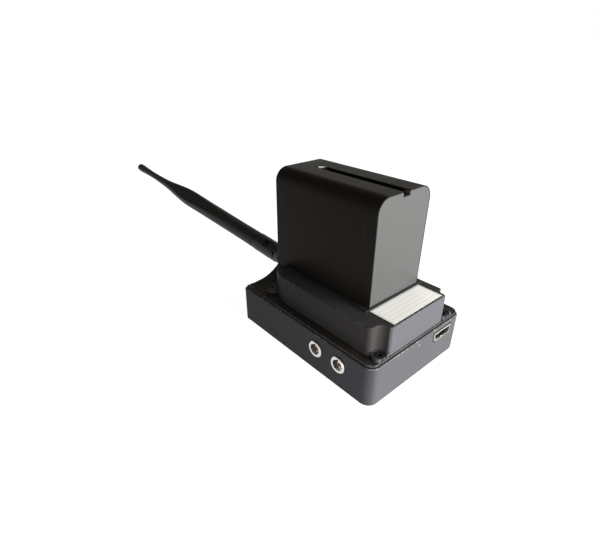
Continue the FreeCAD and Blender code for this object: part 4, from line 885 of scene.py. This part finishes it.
lip = bmesh.new()
loops = []
for depth, inset in ((LIP_DEPTH, LIP_OUTSIDE), (0.0, LIP_OUTSIDE),
                     (0.0, LIP_INSIDE), (LIP_DEPTH, LIP_INSIDE)):
    loops.append([lip.verts.new(shell_middle + mm(shell_half.x - depth, along, up))
                  for along, up in mouth_outline(inset)])
for first, second in zip(loops, loops[1:] + loops[:1]):
    for a, b, c, d in zip(first, first[1:] + first[:1], second[1:] + second[:1], second):
        lip.faces.new((a, b, c, d))
piece_from(lip, "video_socket_lip", rolled_nickel, smooth=False)
print("lip of", len(loops), "loops ends at x", round(shell_high.x / MM, 2), "mm")

# %% [markdown]
# ## Leaf springs in the video socket
#
# Four narrow tongues of the shell are bent inwards and press on a plug. Only their bright front
# ends show in the dark throat. Strips could be bent to their full curve, but the curve is out of
# sight, so each spring is a short flat bar with bevelled edges.

# %% Leaf springs in the video socket
SPRING_LENGTH, SPRING_THICK, SPRING_BEVEL, SPRING_DEPTH = 2.2, 0.45, 0.12, 1.3
# Places across and up from the middle of the mouth, and widths.
SPRINGS = ((-4.9, -1.55, 1.5), (-0.3, -1.75, 1.3), (3.9, 1.75, 1.0), (5.2, 1.75, 1.0))

for count, (along, up, wide) in enumerate(SPRINGS, start=1):
    spring = bevelled_block((SPRING_LENGTH, wide, SPRING_THICK), SPRING_BEVEL,
                            shell_middle + mm(shell_half.x - SPRING_DEPTH, along, up))
    piece_from(spring, f"video_socket_spring_{count}", ring_silver,
               smooth=False)
print("leaf springs:", len(SPRINGS))

# %% [markdown]
# ## Inside the box
#
# The parts under the cover are only seen when the model is opened or taken apart, so each gets
# its own true finish with little fuss: green boards with a hint of tracks, black chips with a
# matt top, a finned black heatsink, grey ferrite, a white insulator, copper coax. The tracks
# are the mortar of a brick pattern, which runs in straight lines and turns at right angles as
# real tracks do.

# %% Circuit board tracks
BRICKS_PER_METRE, TRACK_WIDTH = 260.0, 0.03
BRICK_LENGTH, BRICK_HEIGHT = 0.7, 0.22
TRACK_STRENGTH, TRACK_GREEN = 0.45, (0.10, 0.30, 0.12, 1.0)


def tracks(tree, place, painted):
    bricks = add_node(tree, "ShaderNodeTexBrick", {
        "Vector": place, "Scale": BRICKS_PER_METRE, "Mortar Size": TRACK_WIDTH,
        "Brick Width": BRICK_LENGTH, "Row Height": BRICK_HEIGHT}).outputs["Fac"]
    return mix_colour(tree, calc(tree, "MULTIPLY", bricks, TRACK_STRENGTH), painted,
                      TRACK_GREEN)


board_green = finish("board green", (0.012, 0.075, 0.028), 0.32, grain_size=0.3 * MM,
                     depth=0.006 * MM, colour_hook=tracks, coat=0.3)
board_blue = finish("board blue", (0.010, 0.035, 0.110), 0.32, grain_size=0.3 * MM,
                    depth=0.006 * MM, colour_hook=tracks, coat=0.3)
dress(board_green, "main_board", "battery_protection_board")
dress(board_blue, "radio_module")

# %% Other inside finishes
chip_black = finish("chip black", (0.018, 0.018, 0.020), 0.5, grain_size=0.12 * MM)
heatsink_black = finish("heatsink black", (0.03, 0.03, 0.032), 0.45, metallic=0.5,
                        grain_size=0.15 * MM)
ferrite = finish("ferrite grey", (0.09, 0.09, 0.095), 0.6, grain_size=0.2 * MM,
                 depth=0.02 * MM)
pad_grey = finish("pad grey", (0.22, 0.23, 0.25), 0.8, grain_size=0.4 * MM, depth=0.02 * MM)
sleeve_blue = finish("cell sleeve", (0.05, 0.12, 0.32), 0.3, grain_size=0.6 * MM,
                     depth=0.01 * MM, coat=0.3)
insulator_white = finish("insulator white", (0.80, 0.79, 0.76), 0.5, grain_size=0.3 * MM)
coax_copper = finish("coax copper", (0.72, 0.38, 0.24), 0.34, metallic=1.0,
                     grain_size=0.15 * MM, depth=0.005 * MM, tone=0.4, tone_size=4 * MM)
radiator_brass = finish("radiator brass", (0.72, 0.52, 0.22), 0.34, metallic=1.0,
                        grain_size=0.15 * MM, depth=0.005 * MM, tone=0.3)
dress(chip_black, "video_processor", "memory_chips")
dress(heatsink_black, "processor_heatsink")
dress(ferrite, "power_inductors")
dress(pad_grey, "amplifier_thermal_pad")
dress(sleeve_blue, "battery_cells")
dress(insulator_white, "antenna_jack_insulator")
dress(coax_copper, "antenna_feed_coax")
dress(radiator_brass, "antenna_radiator")

# %% Look for a node that was forgotten
LEAST_NODES = 6
plain = [name for name, piece in nodes.items() if not piece.data.materials
         or not piece.data.materials[0].node_tree
         or len(piece.data.materials[0].node_tree.nodes) < LEAST_NODES]
print("nodes still without a finish:", plain)
